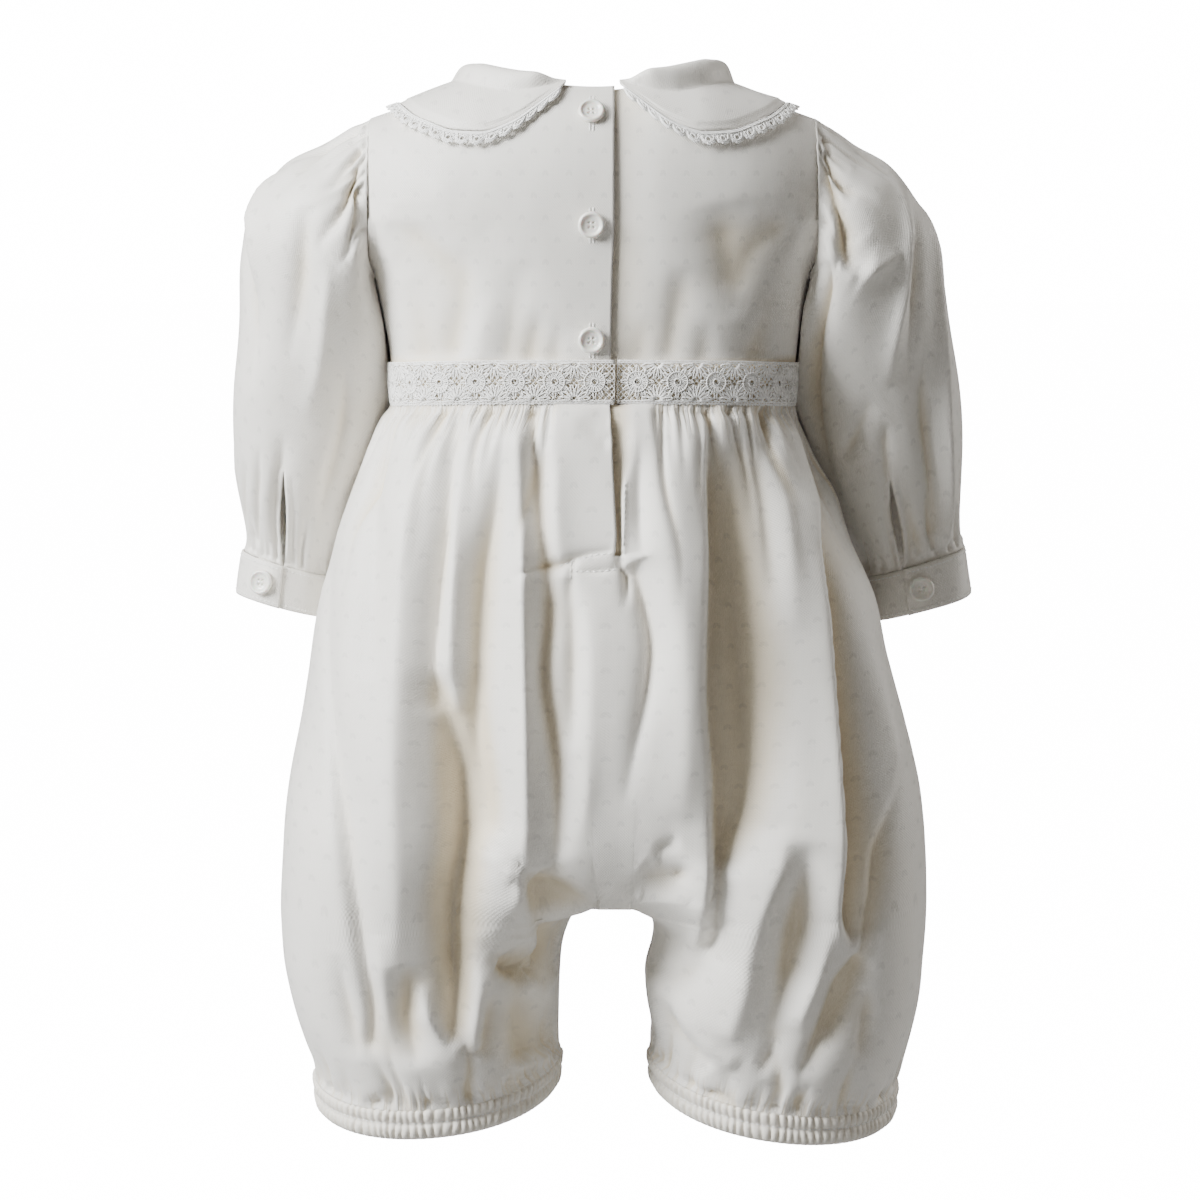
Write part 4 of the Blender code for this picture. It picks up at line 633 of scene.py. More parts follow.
def even_turns(count):
    """Shares from 0 to 1 that space a rounded section's points evenly:
    share - 0.4 sin(2 pi share) / (2 pi)."""
    share = np.linspace(0.0, 1.0, count + 1)
    return share - 0.4 * np.sin(2 * pi * share) / (2 * pi)


LEG_DROPS = {"left": 9.0, "right": 13.0}     # how far each hem falls from inseam to side
HEM_CURVE = 8.0                              # and how far from its side seams to its middle
HEM_DEPTH = SKIRT_ROWS[-1].back
LEG_POWER = 2.05                             # the superellipse round a leg at its hem


def skirt_places(slit):
    """Row numbers of the fine rows. Down to 10 mm above the crotch they are
    even in height, and closer where the slit ends. From there they close in on
    it, as 0.12 share + 0.88 share^2.6, because the seat turns under by a cube
    root."""
    fine = np.linspace(0.0, CROTCH_ROW, 100 * CROTCH_ROW + 1)
    z = skirt_curves(fine).z[:, 0]
    wanted = np.linspace(z[0], CROTCH_Z + 10.0, 84)
    if slit:
        dense = np.linspace(-190.0, -205.0, 21)
        outside = np.minimum(np.abs(wanted + 190.0), np.abs(wanted + 205.0)) > 0.8
        wanted = wanted[((wanted > -190.0) | (wanted < -205.0)) & outside]
        wanted = np.sort(np.concatenate([wanted, dense]))[::-1]
    close = np.linspace(1.0, 0.0, 17)[1:]
    turned = CROTCH_Z + 10.0 * (0.12 * close + 0.88 * close**2.6)
    above = np.interp(-np.concatenate([wanted, turned]), -z, fine)
    lower = np.linspace(CROTCH_ROW, len(SKIRT_ROWS) - 1, 37)
    return np.concatenate([above[:-1], lower])


def skirt_half(places, edge, face, side):
    """Half of a skirt panel: rows from the side seam to the middle, and below
    the crotch from the side seam round to the inseam. Each row goes from the
    torso's section, a superellipse of power 2.5 round its own middle, over to
    the leg's. That one is round up to its ridge line. From there it goes in to
    the web, the depth w that is left between the legs. With r the height of
    its superellipse, y^2 = depth^2 - (depth^2 - w^2) (1 - r^2)."""
    curve = skirt_curves(places)
    z, outer, depth = curve.z, getattr(curve, edge), getattr(curve, face)
    inner_edge = "inner_" + edge
    inner = np.where(places[:, None] <= CROTCH_ROW, getattr(SKIRT_ROWS[0], inner_edge),
                     getattr(curve, inner_edge))
    middle = (curve.left + curve.right) / 2
    legs = 1.0 - smoothstep(-392.0, FORK_Z, z)
    ridge = (outer + CENTRE_X + (inner[-1] - CENTRE_X) * legs) / 2
    web = depth * arch((FORK_Z - np.minimum(z, FORK_Z)) / (FORK_Z - CROTCH_Z), 3.0)
    hang = 1.0 - smoothstep(HEM_TOP_Z, CROTCH_Z, z)

    end = np.clip((CENTRE_X - middle) / (outer - middle), -1, 1)
    turn = np.arccos(powered(end, 1.25)) * even_turns(SKIRT_CELLS)
    torso_x = middle + (outer - middle) * powered(np.cos(turn), 0.8)
    torso_y = depth * np.clip(np.sin(turn), 0, 1) ** 0.8

    outer_cells = round(SKIRT_CELLS * 0.56)
    inner_cells = SKIRT_CELLS - outer_cells - WEB_CELLS
    turn = even_turns(outer_cells)[None, :-1] * pi / 2
    power = 2 / (BODY_POWER + (LEG_POWER - BODY_POWER) * hang)
    outer_x = ridge + (outer - ridge) * np.cos(turn) ** power
    outer_y = depth * np.sin(turn) ** power
    square = 3.4 - 1.3 * np.exp(-((z - CROTCH_Z + 4.0) / 14.0) ** 2)
    power = 2 / (square + (LEG_POWER - square) * hang)
    turn = np.linspace(0, 1, inner_cells + 1)[None, :] ** (1 / power) * pi / 2
    inner_x = ridge + (inner - ridge) * np.sin(turn) ** power
    round_share = np.clip(np.cos(turn), 0, 1) ** power
    inner_y = depth * np.sqrt(1 - (1 - (web / depth) ** 2) * (1 - round_share**2))
    web_x = inner + (CENTRE_X - inner) * np.linspace(0, 1, WEB_CELLS + 1)[None, 1:]
    leg_x = np.hstack([outer_x, inner_x, web_x])
    leg_y = np.hstack([outer_y, inner_y, web + 0 * web_x])

    share = 1.0 - smoothstep(CROTCH_Z, -205.0, z)
    x = torso_x + (leg_x - torso_x) * share
    y = side * np.maximum(torso_y + (leg_y - torso_y) * share, EDGE_Y)
    across = np.arange(SKIRT_CELLS + 1)[None, :] / (SKIRT_CELLS - WEB_CELLS)
    z = z + (curve.z_side - z) * (1.0 - np.minimum(across, 1.0) ** 2)
    part = np.clip((x - inner[-1]) / (outer[-1] - inner[-1]), 0.0, 1.0)
    fall = hang * (LEG_DROPS[edge] * part + HEM_CURVE * np.abs(y) / HEM_DEPTH)
    return np.stack([x, y, z + waist_lift(y, z) - fall], axis=-1)


def gather_height(run, away, spacing, length, depth, seed):
    """Height of cloth gathered into a seam. run is the distance along the seam
    and away the distance from it. Valley number k lies at
    spacing (k + 0.3 sin(2.1 k + seed) + 0.16 sin(5.3 k)), and its length and
    depth vary as sin(1.7 k + seed) and sin(2.9 k)."""
    height = np.zeros(np.broadcast(run, away).shape)
    for k in range(int(run.max() / spacing) + 2):
        line = spacing * (k + 0.3 * np.sin(2.1 * k + seed) + 0.16 * np.sin(5.3 * k))
        reach = length * (1.0 + 0.55 * np.sin(1.7 * k + seed) + 0.25 * np.sin(4.1 * k))
        deep = depth * (1.0 + 0.45 * np.sin(2.9 * k + seed))
        near = smoothstep(0.0, 2.5, away) * (1.0 - smoothstep(0.1 * reach, reach, away))
        width = np.maximum(0.7, spacing * (0.16 + 0.36 * np.clip(away / reach, 0, 1)))
        bend = 0.16 * spacing * np.sin(away / 9.0 + k)
        far = np.sqrt((run - line - bend) ** 2 + 0.04) - 0.2
        height = height - deep * near * np.exp(-far / width)
    return height


def smooth_seat(left, right, soft):
    """Evens out the depth of the 15 columns beside the middle, 12 times over:
    each takes a share, soft, of its neighbours' difference from it. The halves
    meet on their mean."""
    for _ in range(12):
        for half, other in ((left, right), (right, left)):
            y = half[..., 1]
            ahead = np.hstack([y[:, -14:], other[:, [-2], 1]])
            y[:, -15:] += soft * (y[:, -16:-1] + ahead - 2 * y[:, -15:])
        left[:, -1, 1] = right[:, -1, 1] = (left[:, -1, 1] + right[:, -1, 1]) / 2


def skirt_gathers(column, below, above, plain, seed):
    """Height of the gathers on half a panel: long and short ones below the
    waist, where the cloth isn't plain, and above the hem. The cloth puffs out
    under the waist seam, sinks 8 to 36 mm below it, and puffs out by the hem."""
    waist_run = column * 118.0 / SKIRT_CELLS
    hem_run = column * 120.0 / (SKIRT_CELLS - WEB_CELLS)
    waist = (gather_height(waist_run, below + 0.4, 8.6, 62.0, 2.8, seed)
             + gather_height(waist_run, below + 0.4, 3.9, 26.0, 2.2, seed + 3.0))
    lower = (gather_height(hem_run, above, 7.4, 30.0, 2.6, seed + 1.0)
             + gather_height(hem_run, above, 3.9, 13.0, 1.8, seed + 4.0))
    puff = (1.0 + 0.8 * smoothstep(0, 6, below) - 1.8 * smoothstep(8, 36, below)
            + 1.4 * (1 - smoothstep(2, 16, above)))
    return waist * plain + lower + puff


def levelled(points, normals):
    """The normals, made level round the crotch's row on the legs' outer parts,
    where the sheet turns too sharply for a deep fold."""
    level = normals * [1.0, 1.0, 0.0]
    level /= np.maximum(np.linalg.norm(level, axis=1, keepdims=True), 0.1)
    near = np.exp(-((points[:, [2]] - CROTCH_Z) / 8.0) ** 2)
    near = near * smoothstep(24.0, 44.0, np.abs(points[:, [0]] - CENTRE_X))
    return normals + near * (level - normals)


def fold_share(points, normals, rim):
    """How much of a fold's height is left at each point: none at the side seams
    and the rims, and little where the seat turns under."""
    inside = (smoothstep(0.0, 16.0, np.abs(points[:, 1])) * smoothstep(0.0, 7.0, rim)
              * smoothstep(0.1, 0.6, np.abs(normals[:, 1]) + np.abs(normals[:, 0])))
    aside = points[:, 0] - CENTRE_X
    above = points[:, 2] - CROTCH_Z
    crotch_near = np.exp(-(aside / 22.0) ** 2 - (above / 13.0) ** 2)
    turned = 0.85 * np.exp(-(above / 6.0) ** 2) * (1.0 - smoothstep(24.0, 44.0, np.abs(aside)))
    return inside * (1.0 - np.maximum(0.8 * crotch_near, turned))


def slit_step(points):
    """How far the slit's right edge lies below the flap, and how much painted shade it gets, as the
    flap's shadow.
    It comes up level further out. Lower down its own edge is folded under."""
    aside = points[:, 0] - CENTRE_X
    folded = smoothstep(-154.0, -172.0, points[:, 2])
    upper = smoothstep(1.4 + 1.0 * folded, 9.0 - 5.6 * folded, aside)
    fold = 0.7 * np.exp(-((aside - 3.6) / 1.0) ** 2) * folded
    step = 3.4 - 2.4 * upper - smoothstep(6, 22, aside) - fold
    return step * (0.4 + 0.6 * smoothstep(0, 9, WAIST_TOP_Z - points[:, 2])), 1 - upper


def skirt_panel(name, face, side, creases, slit, seed):
    """A skirt panel with both its halves, joined down the middle from the
    slit's end, or from the waist, to the crotch. Its sheet is moved out by 1.2
    times its creases and by a low wave, 1.1 sin(x / 11 + z / 43)
    sin(z / 23 + x / 37), then by its gathers, and by 3 under the right arm."""
    places = skirt_places(slit)
    left, right = (skirt_half(places, edge, face, side) for edge in ("left", "right"))
    row_z = skirt_curves(places).z[:, 0]
    crotch = int(np.flatnonzero(places == CROTCH_ROW)[0])
    soft = 0.25 * smoothstep(CROTCH_Z, CROTCH_Z + 7.0, row_z[:crotch, None])
    smooth_seat(left[:crotch], right[:crotch], soft)
    open_rows = np.flatnonzero(row_z > SLIT_END_Z + 0.5) if slit else np.zeros(0, int)
    top = row_z[open_rows] - SLIT_END_Z
    shift = 1.2 * smoothstep(0.0, 8.0, top) - 0.055 * top
    left[open_rows, -8:, 0] += shift[:, None] * np.linspace(0.0, 1.0, 8)
    right[open_rows, -1, 0] -= 7.0
    left_index = np.arange(len(places) * (SKIRT_CELLS + 1)).reshape(len(places), -1)
    right_index = left_index + left_index.size
    joined = np.arange(len(open_rows), crotch + 1)
    right_index[joined, -1] = left_index[joined, -1]
    points = np.vstack([left.reshape(-1, 3), right.reshape(-1, 3)])

    column = np.broadcast_to(np.arange(SKIRT_CELLS + 1.0), left_index.shape)
    below = WAIST_TOP_Z - row_z[:, None]
    above = row_z[:, None] - HEM_TOP_Z

    def on_both(values):
        """Values for half a panel, repeated for both halves' points."""
        return np.tile(np.broadcast_to(values, column.shape).ravel(), 2)

    plain = 1.0 - smoothstep(0.82, 0.87, column / SKIRT_CELLS) * slit
    gathers = np.concatenate([skirt_gathers(column, below, above, plain, seed + part).ravel()
                              for part in (0.0, 2.0)])
    pinch = on_both(np.maximum((1 - smoothstep(2, 16, below)) * plain,
                               1 - smoothstep(2, 14, above)))
    rim = on_both(np.minimum(above, below))

    faces = np.vstack([
        np.vstack([grid_faces(index[:crotch + 1]), grid_faces(index[crotch:, :-WEB_CELLS])])[:, ::way]
        for index, way in ((left_index, 1), (right_index, -1))])
    used, renumbered = np.unique(faces, return_inverse=True)
    faces = renumbered.reshape(faces.shape)
    sunk, seam = np.zeros((2, len(points)), bool)
    sunk[right_index[open_rows]] = True
    seam[[left_index[:, 0], right_index[:, 0]]] = True
    spread = np.stack(np.broadcast_arrays(column * 1.35, -below), axis=-1)
    place = np.vstack([spread.reshape(-1, 2), ([[330.0, 0.0]] - spread * [1, -1]).reshape(-1, 2)])
    points, gathers, pinch, sunk, seam, place, rim = (
        values[used] for values in (points, gathers, pinch, sunk, seam, place, rim))

    faces = faces[:, ::facing(points, faces, [0, side, 0])]
    normals = sheet_normals(points, faces)
    normals[seam, 1] = 0.0
    normals = levelled(points, normals)
    x, z = points[:, 0], points[:, 2]
    height = crease_height(x, z, creases)
    broad = 1.1 * np.sin(x / 11.0 + z / 43.0 + seed) * np.sin(z / 23.0 + x / 37.0)
    height = (1.2 * height + broad) * fold_share(points, normals, rim)
    height = height + gathers * smoothstep(0.0, 5.0, np.abs(points[:, 1]))
    height = height + 3.0 * np.exp(-((z + 178.0) / 13.0) ** 2) * smoothstep(76.0, 98.0, x)
    # Painted shade: the colour is darker and warmer in the troughs of the folds and in the gathers'
    # valleys.
    depth = np.maximum(smoothstep(1.0, 8.0, -height), smoothstep(0.8, 3.6, -gathers))
    # Painted shade also lies along the slit's right edge, where the flap above shades it.
    step, shade = slit_step(points)
    height = height - np.where(sunk, step, 0.0)
    depth = np.maximum(depth, np.where(sunk, shade, 0.0))
    points = points + normals * height[:, None]
    piece = cloth_piece(name, points, faces, place, depth=depth, gather=pinch)


skirt_panel("skirt-back", "back", -1, SKIRT_BACK_CREASES, True, 0.4)
skirt_panel("skirt-front", "front", 1, SKIRT_FRONT_CREASES, False, 1.9)


# The underlap is a strip of the same cloth, sewn inside the right edge of the
# slit, so that the slit stays closed to the eye when the flap's edge moves.
def make_underlap():
    """The skirt's back section, moved in by 3.6, on both sides of the slit."""
    x = np.linspace(CENTRE_X - 13.0, CENTRE_X + 4.5, 14)
    curve = skirt_curves(np.linspace(1.0, 5.0, 26))
    middle, half = (curve.left + curve.right) / 2, (curve.right - curve.left) / 2
    y = -curve.back * arch((x - middle) / half, BODY_POWER) + 3.6
    z = curve.z + waist_lift(y, curve.z)
    sheet = np.stack(np.broadcast_arrays(x[None, :], y, z), axis=-1)
    points, faces = turned_out(sheet, [0, -1, 0])
    # The whole strip gets full painted shade, as it lies back in the slit's shadow.
    piece = cloth_piece("slit-underlap", points, faces, points[:, [0, 2]],
                        depth=np.ones(len(points)))


make_underlap()


# ----------------------------------------------------------------- elastic hems
# Each hem is a narrow band over elastic, gathered small and evenly, with one
# line of stitches along its middle that pinches it into two rolls.
def leg_end(edge):
    """Where a leg's oval ends at its hem: the outer and the inner end."""
    return getattr(SKIRT_ROWS[-1], edge), getattr(SKIRT_ROWS[-1], "inner_" + edge)


def hem_band(name, edge, seed):
    """The band goes round (x / half)^2.05 + (y / depth)^2.05 = 1. It bulges
    between its edges and its stitch line by 1.5 |sin(2 pi share)|^0.7, turns in
    below by 1.6 share^3, and starts 2.2 inside the leg. Its pleats are narrow
    valleys between round ridges, |sin(pi number)|^0.5, about 3.3 apart, and
    shallower where the stitches and the lower edge hold them."""
    outer, inner = leg_end(edge)
    ridge, half = (outer + inner) / 2, (outer - inner) / 2
    turn = np.linspace(0, 2 * pi, 720, endpoint=False)
    depth = np.where(np.sin(turn) < 0, HEM_DEPTH, SKIRT_ROWS[-1].front)
    share = np.linspace(0, 1, 15)[:, None]
    around = turn * 0.5 * (abs(half) + 55.5)
    number = np.round(around[-1] / 3.3) * turn / (2 * pi)
    lean = 0.28 * np.sin(number * 0.9 + seed) * (share - 0.5) + 0.22 * np.sin(
        number * 0.61 + seed)
    pleat = np.abs(np.sin(pi * (number + lean + 0.12 * np.sin(5.0 * share + number)))) ** 0.5
    held = 0.35 + 0.65 * smoothstep(0.0, 0.16, np.abs(share - 0.5))
    held = held * (1.0 - 0.8 * smoothstep(0.86, 1.0, share))
    deep = (1.6 + 0.5 * np.sin(number * 1.3 + seed)) * held
    out = (1.5 * np.abs(np.sin(2 * pi * share)) ** 0.7 - 1.6 * share**3 + 0.5
           - 2.2 * (1 - smoothstep(0.0, 0.16, share)) + deep * (pleat - 0.75))
    x = ridge + (half + np.sign(half) * out) * powered(np.cos(turn), 2 / LEG_POWER)
    y = (depth + out) * powered(np.sin(turn), 2 / LEG_POWER)
    part = np.clip((x - inner) / (outer - inner), 0.0, 1.0)
    fall = LEG_DROPS[edge] * part + HEM_CURVE * np.minimum(np.abs(y), HEM_DEPTH) / HEM_DEPTH
    z = HEM_TOP_Z + 1.2 - 14.8 * share - fall
    points = np.stack([x, y, z], axis=-1).reshape(-1, 3)
    index = np.arange(len(points)).reshape(15, -1)
    faces = grid_faces(np.hstack([index, index[:, :1]]))
    way = facing(points, faces, (points - [ridge, 0, 0]) * [1, 1, 0])
    wide = np.concatenate([around, around[-1:] + around[1:2]])
    place = np.stack(np.broadcast_arrays(wide * 1.8, -13.0 * share), axis=-1).reshape(-1, 2)
    corners = grid_faces(np.arange(len(place)).reshape(15, -1))
    # Painted shade: a little over the whole band, which lies under the leg's puff, and more in the
    # pleats' valleys, most where the pleats are deepest.
    piece = cloth_piece(name, points, faces[:, ::way], place, 0.7, corners[:, ::way],
                        depth=0.2 + 0.5 * (1 - pleat) * held)


hem_band("left-leg-hem", "left", 0.3)
hem_band("right-leg-hem", "right", 1.7)


# ------------------------------------------------------------------- sleeves
# Each sleeve is one piece, gathered into the upper half of the armhole so that
# its head puffs out, and gathered a little into the cuff. A short slit above
# the cuff faces the back.
SleeveRow = namedtuple(
    "SleeveRow", "outer_x outer_z inner_x inner_z half_depth forward widest")
LEFT_SLEEVE = (
    SleeveRow(-102.0, -21.0, -94.6, -88.0, 40.0, 1.0, 0.62),
    SleeveRow(-113.5, -28.0, -93.6, -97.0, 44.5, 3.5, 0.58),
    SleeveRow(-131.0, -36.5, -92.0, -107.0, 47.0, 7.0, 0.55),
    SleeveRow(-144.0, -52.5, -91.3, -119.0, 47.0, 11.5, 0.53),
    SleeveRow(-150.2, -73.0, -91.5, -133.0, 45.0, 17.0, 0.50),
    SleeveRow(-152.8, -99.0, -95.5, -149.5, 42.0, 23.0, 0.50),
    SleeveRow(-156.2, -127.0, -101.0, -166.0, 38.5, 29.0, 0.50),
    SleeveRow(-157.5, -153.0, -105.5, -181.0, 35.0, 34.0, 0.50),
    SleeveRow(-157.3, -172.0, -108.5, -194.0, 31.5, 38.0, 0.50),
    SleeveRow(-155.7, -186.0, -111.5, -204.0, 28.0, 41.0, 0.50),
    SleeveRow(-154.4, -196.0, -113.0, -210.5, 25.5, 43.0, 0.50),
    SleeveRow(-153.9, -203.8, -113.5, -215.2, 23.2, 44.0, 0.50),
)
RIGHT_SLEEVE = (
    SleeveRow(101.5, -21.0, 94.6, -88.0, 40.0, 1.0, 0.62),
    SleeveRow(112.0, -28.5, 93.6, -97.0, 44.5, 3.5, 0.58),
    SleeveRow(127.0, -37.2, 92.0, -107.0, 47.0, 7.0, 0.55),
    SleeveRow(138.6, -52.5, 91.5, -119.0, 47.0, 11.5, 0.53),
    SleeveRow(147.2, -73.0, 93.0, -133.0, 45.0, 17.0, 0.50),
    SleeveRow(153.0, -98.5, 97.0, -148.5, 42.0, 23.0, 0.50),
    SleeveRow(158.0, -127.0, 102.5, -165.5, 38.5, 29.0, 0.50),
    SleeveRow(161.0, -153.0, 107.5, -181.5, 35.0, 34.0, 0.50),
    SleeveRow(161.9, -172.0, 111.0, -194.5, 31.5, 38.0, 0.50),
    SleeveRow(162.3, -186.0, 114.5, -205.0, 28.0, 41.0, 0.50),
    SleeveRow(162.8, -196.0, 116.5, -211.5, 25.5, 43.0, 0.50),
    SleeveRow(163.8, -202.2, 117.5, -216.0, 23.2, 44.0, 0.50),
)
# A sleeve crease's path is in degrees round the sleeve, where 0 is the outer
# edge and 90 faces the back, and in section numbers down it from the armhole.
LEFT_SLEEVE_CREASES = (
    Crease((3, 3, 2, 0), 2, 2.5, 0.8, [(44, 0.5), (50, 1.3), (59, 2.2)]),
    Crease((3, 4, 3, 0), 2.5, 3, 0.8, [(60, 0.5), (69, 1.2), (78, 2.2), (84, 3.4)]),
    Crease((3, 3, 2, 0), 2, 3, 0.8, [(73, 0.4), (85, 0.8), (93, 1.7), (98, 2.6)]),
    Crease((3, 3, 2, 0), 3, 3, 1.2, [(25, 0.5), (18, 1.8), (31, 2.7), (40, 3.4)]),
    Crease((0, -3, -4, -3, 0), 5, 4, 1.5, [(10, 3.2), (19, 3.8), (36, 4.5), (50, 5.3)]),
    Crease((0, 3, 4, 3, 0), 4, 5, 2, [(60, 2.8), (70, 3.3), (79, 4), (84, 5), (82, 6)]),
    Crease((0, 3, 3, 2, 0), 4, 5, 2, [(20, 4.4), (36, 5.2), (48, 6.0), (52, 7.0)]),
    Crease((0, -3, -3, 0), 4, 5, 2, [(92, 3.0), (100, 4.2), (102, 5.6), (96, 6.8)]),
    Crease((2, 3, 3, 0), 2, 3, 0.8, [(51, 11.4), (61, 9.2), (66, 7.8)]),
    Crease((2, 3, 3, 0), 2.5, 3, 1.0, [(8, 11.5), (30, 9.8), (47, 8.3)]),
    Crease((0, 3, 4, 2, 0), 3, 3, 1.0, [(87, 7.2), (84, 8.3), (81, 9.7), (82, 11.4)]),
    Crease((0, 3, 3, 0), 4, 4, 2, [(118, 5.0), (127, 6.2), (127, 7.5), (124, 9.3)]),
    Crease((0, 2, 3, 2, 0), 4, 4, 1.5, [(-8, 4.6), (-2, 6.0), (6, 7.4), (12, 8.8)]),
    Crease((3, 4, 3, 0), 2.5, 3, 0.8, [(292, 0.5), (284, 1.4), (278, 2.6), (272, 3.6)]),
    Crease((3, 3, 2, 0), 2.5, 3, 0.8, [(310, 0.5), (306, 1.4), (298, 2.5)]),
    Crease((0, 4, 5, 3, 0), 5, 4, 2, [(296, 2.6), (284, 4.0), (270, 5.2), (262, 6.6)]),
    Crease((0, -3, -3, 0), 5, 4, 2, [(312, 3.0), (300, 4.4), (290, 5.6)]),
    Crease((2, 3, 3, 0), 2.5, 3, 1.0, [(280, 11.4), (288, 9.8), (300, 8.0)]),
    Crease((2, 3, 2, 0), 2.5, 3, 1.0, [(312, 11.4), (316, 9.8), (326, 8.4)]),
    Crease((0, 3, 3, 0), 4, 4, 2, [(240, 5.0), (232, 6.4), (230, 8.4)]),
)
RIGHT_SLEEVE_CREASES = (
    Crease((3, 3, 2, 0), 2.5, 2, 0.8, [(32, 0.5), (43, 0.9), (45, 1.9)]),
    Crease((3, 4, 3, 0), 2.5, 2.5, 0.8, [(48, 0.5), (57, 1.2), (63, 2.3)]),
    Crease((3, 4, 3, 0), 2.5, 2.5, 0.8, [(60, 0.4), (73, 0.7), (81, 1.5)]),
    Crease((3, 3, 2, 0), 3, 3, 1.2, [(13, 0.5), (8, 1.7), (21, 2.7), (32, 3.4)]),
    Crease((1, 5, 7, 5, 1), 5, 4, 1.5, [(66, 0.9), (76, 1.6), (85, 2.3), (91, 2.9), (88, 3.8)]),
    Crease((0, -3, -4, -3, 0), 4, 3, 1.2, [(102, 2.4), (95, 3.3), (84, 3.8), (70, 4.1), (55, 4.2)]),
    Crease((0, -3, -5, -5, -3, 0), 6, 3, 1.2, [(24, 2.9), (36, 3.5), (52, 4.1), (71, 4.9), (84, 5.6),
        (90, 6.3)]),
    Crease((0, 3, 4, 4, 2, 0), 3, 6, 1.5, [(20, 3.6), (36, 4.2), (54, 5.0), (70, 5.8), (80, 6.6)]),
    Crease((0, -3, -4, -4, -3, -2), 5, 3, 1.2, [(6, 4.0), (24, 4.8), (44, 6.2), (51, 7.8), (52, 9.6),
        (52, 11.5)]),
    Crease((0, 3, 5, 5, 4, 2), 3, 6, 1.5, [(60, 6.0), (66, 6.9), (68, 7.8), (66, 9.2), (64, 10.6)]),
    Crease((0, 3, 3, 0), 2, 3, 1.0, [(98, 6.8), (102, 7.4), (105, 8.4)]),
    Crease((0, 4, 5, 3, 0), 3, 3, 1.0, [(106, 8.2), (104, 9.4), (101, 10.4), (99, 11.4)]),
    Crease((2, 3, 2, 0), 2, 2, 0.8, [(86, 11.4), (89, 9.8), (93, 8.4)]),
    Crease((2, 3, 2, 0), 2, 2, 0.8, [(71, 11.4), (72, 10.0), (74, 8.8)]),
    Crease((2, 3, 2, 0), 2.5, 2.5, 0.8, [(36, 11.4), (38, 10.0), (40, 8.8)]),
    Crease((2, 2, 2, 0), 2.5, 2.5, 0.8, [(16, 11.4), (20, 10.0), (28, 8.6)]),
    Crease((0, 5, 6, 5, 2, 0), 6, 6, 3, [(110, 1.4), (128, 3.0), (146, 5.0), (152, 7.0), (156, 9.4)]),
    Crease((0, 2, 3, 0), 3, 4, 1.2, [(102, 6.2), (119, 6.7), (138, 7.2)]),
    Crease((3, 4, 3, 0), 2.5, 3, 0.8, [(292, 0.5), (284, 1.4), (278, 2.6), (272, 3.6)]),
    Crease((3, 3, 2, 0), 2.5, 3, 0.8, [(312, 0.5), (308, 1.4), (298, 2.5)]),
    Crease((0, 4, 5, 3, 0), 5, 4, 2, [(298, 2.6), (286, 4.0), (270, 5.2), (262, 6.6)]),
    Crease((0, -3, -4, 0), 5, 4, 2, [(314, 3.0), (302, 4.4), (292, 5.8)]),
    Crease((2, 3, 3, 0), 2.5, 3, 1.0, [(278, 11.4), (286, 9.8), (298, 8.0)]),
    Crease((2, 3, 2, 0), 2.5, 3, 1.0, [(310, 11.4), (316, 9.8), (326, 8.4)]),
)
SLIT_SECTION = 8       # the slit runs from this section to the last one
WRIST_Y = 44.0         # how far forward the wrist hangs
# The body's side behind the arm: how far down it, and its half width there.
BODY_SIDE = ((84.0, 93.0), (104.0, 88.5), (122.0, 86.0), (138.0, 85.2), (143.0, 88.0),
             (152.0, 92.0), (165.0, 88.0))
CuffSize = namedtuple(
    "CuffSize", "top_outer top_inner low_outer low_inner opening_angle button_angle")
LEFT_CUFF = CuffSize((-154.2, -204.2), (-113.2, -215.6),
                     (-157.2, -222.6), (-114.0, -234.2), 88.0, 68.0)
RIGHT_CUFF = CuffSize((164.1, -202.6), (117.2, -216.4),
                      (167.2, -223.3), (120.0, -235.8), 102.0, 89.0)


def sleeve_sections(rows, turn, side):
    """Every section's points at these angles. Section 0 is the armhole. Each
    other one is two half ovals that meet at its widest place, with power 0.9."""
    top = shoulder_height(ARMHOLE_X)
    upper = np.cos(turn) > 0
    power = np.where(upper, 2 / SHOULDER_POWER, 1.0)
    hole_y = -ARMHOLE_DEPTH * powered(np.sin(turn), power)
    rise = np.where(upper, top - CHEST_Z, CHEST_Z - ARMPIT_Z)
    hole_z = CHEST_Z + rise * powered(np.cos(turn), power)
    sections = [np.stack([np.full_like(turn, side * 93.75), hole_y, hole_z], axis=-1)]
    share = powered(np.cos(turn), 0.9)
    for row in rows:
        outer = np.array([row.outer_x, 0.0, row.outer_z])
        inner = np.array([row.inner_x, 0.0, row.inner_z])
        middle = outer + (inner - outer) * row.widest
        reach = np.where(share[..., None] > 0, outer - middle, middle - inner)
        points = middle + share[..., None] * reach
        points[..., 1] = row.forward - row.half_depth * powered(np.sin(turn), 0.9)
        sections.append(points)
    return np.array(sections)


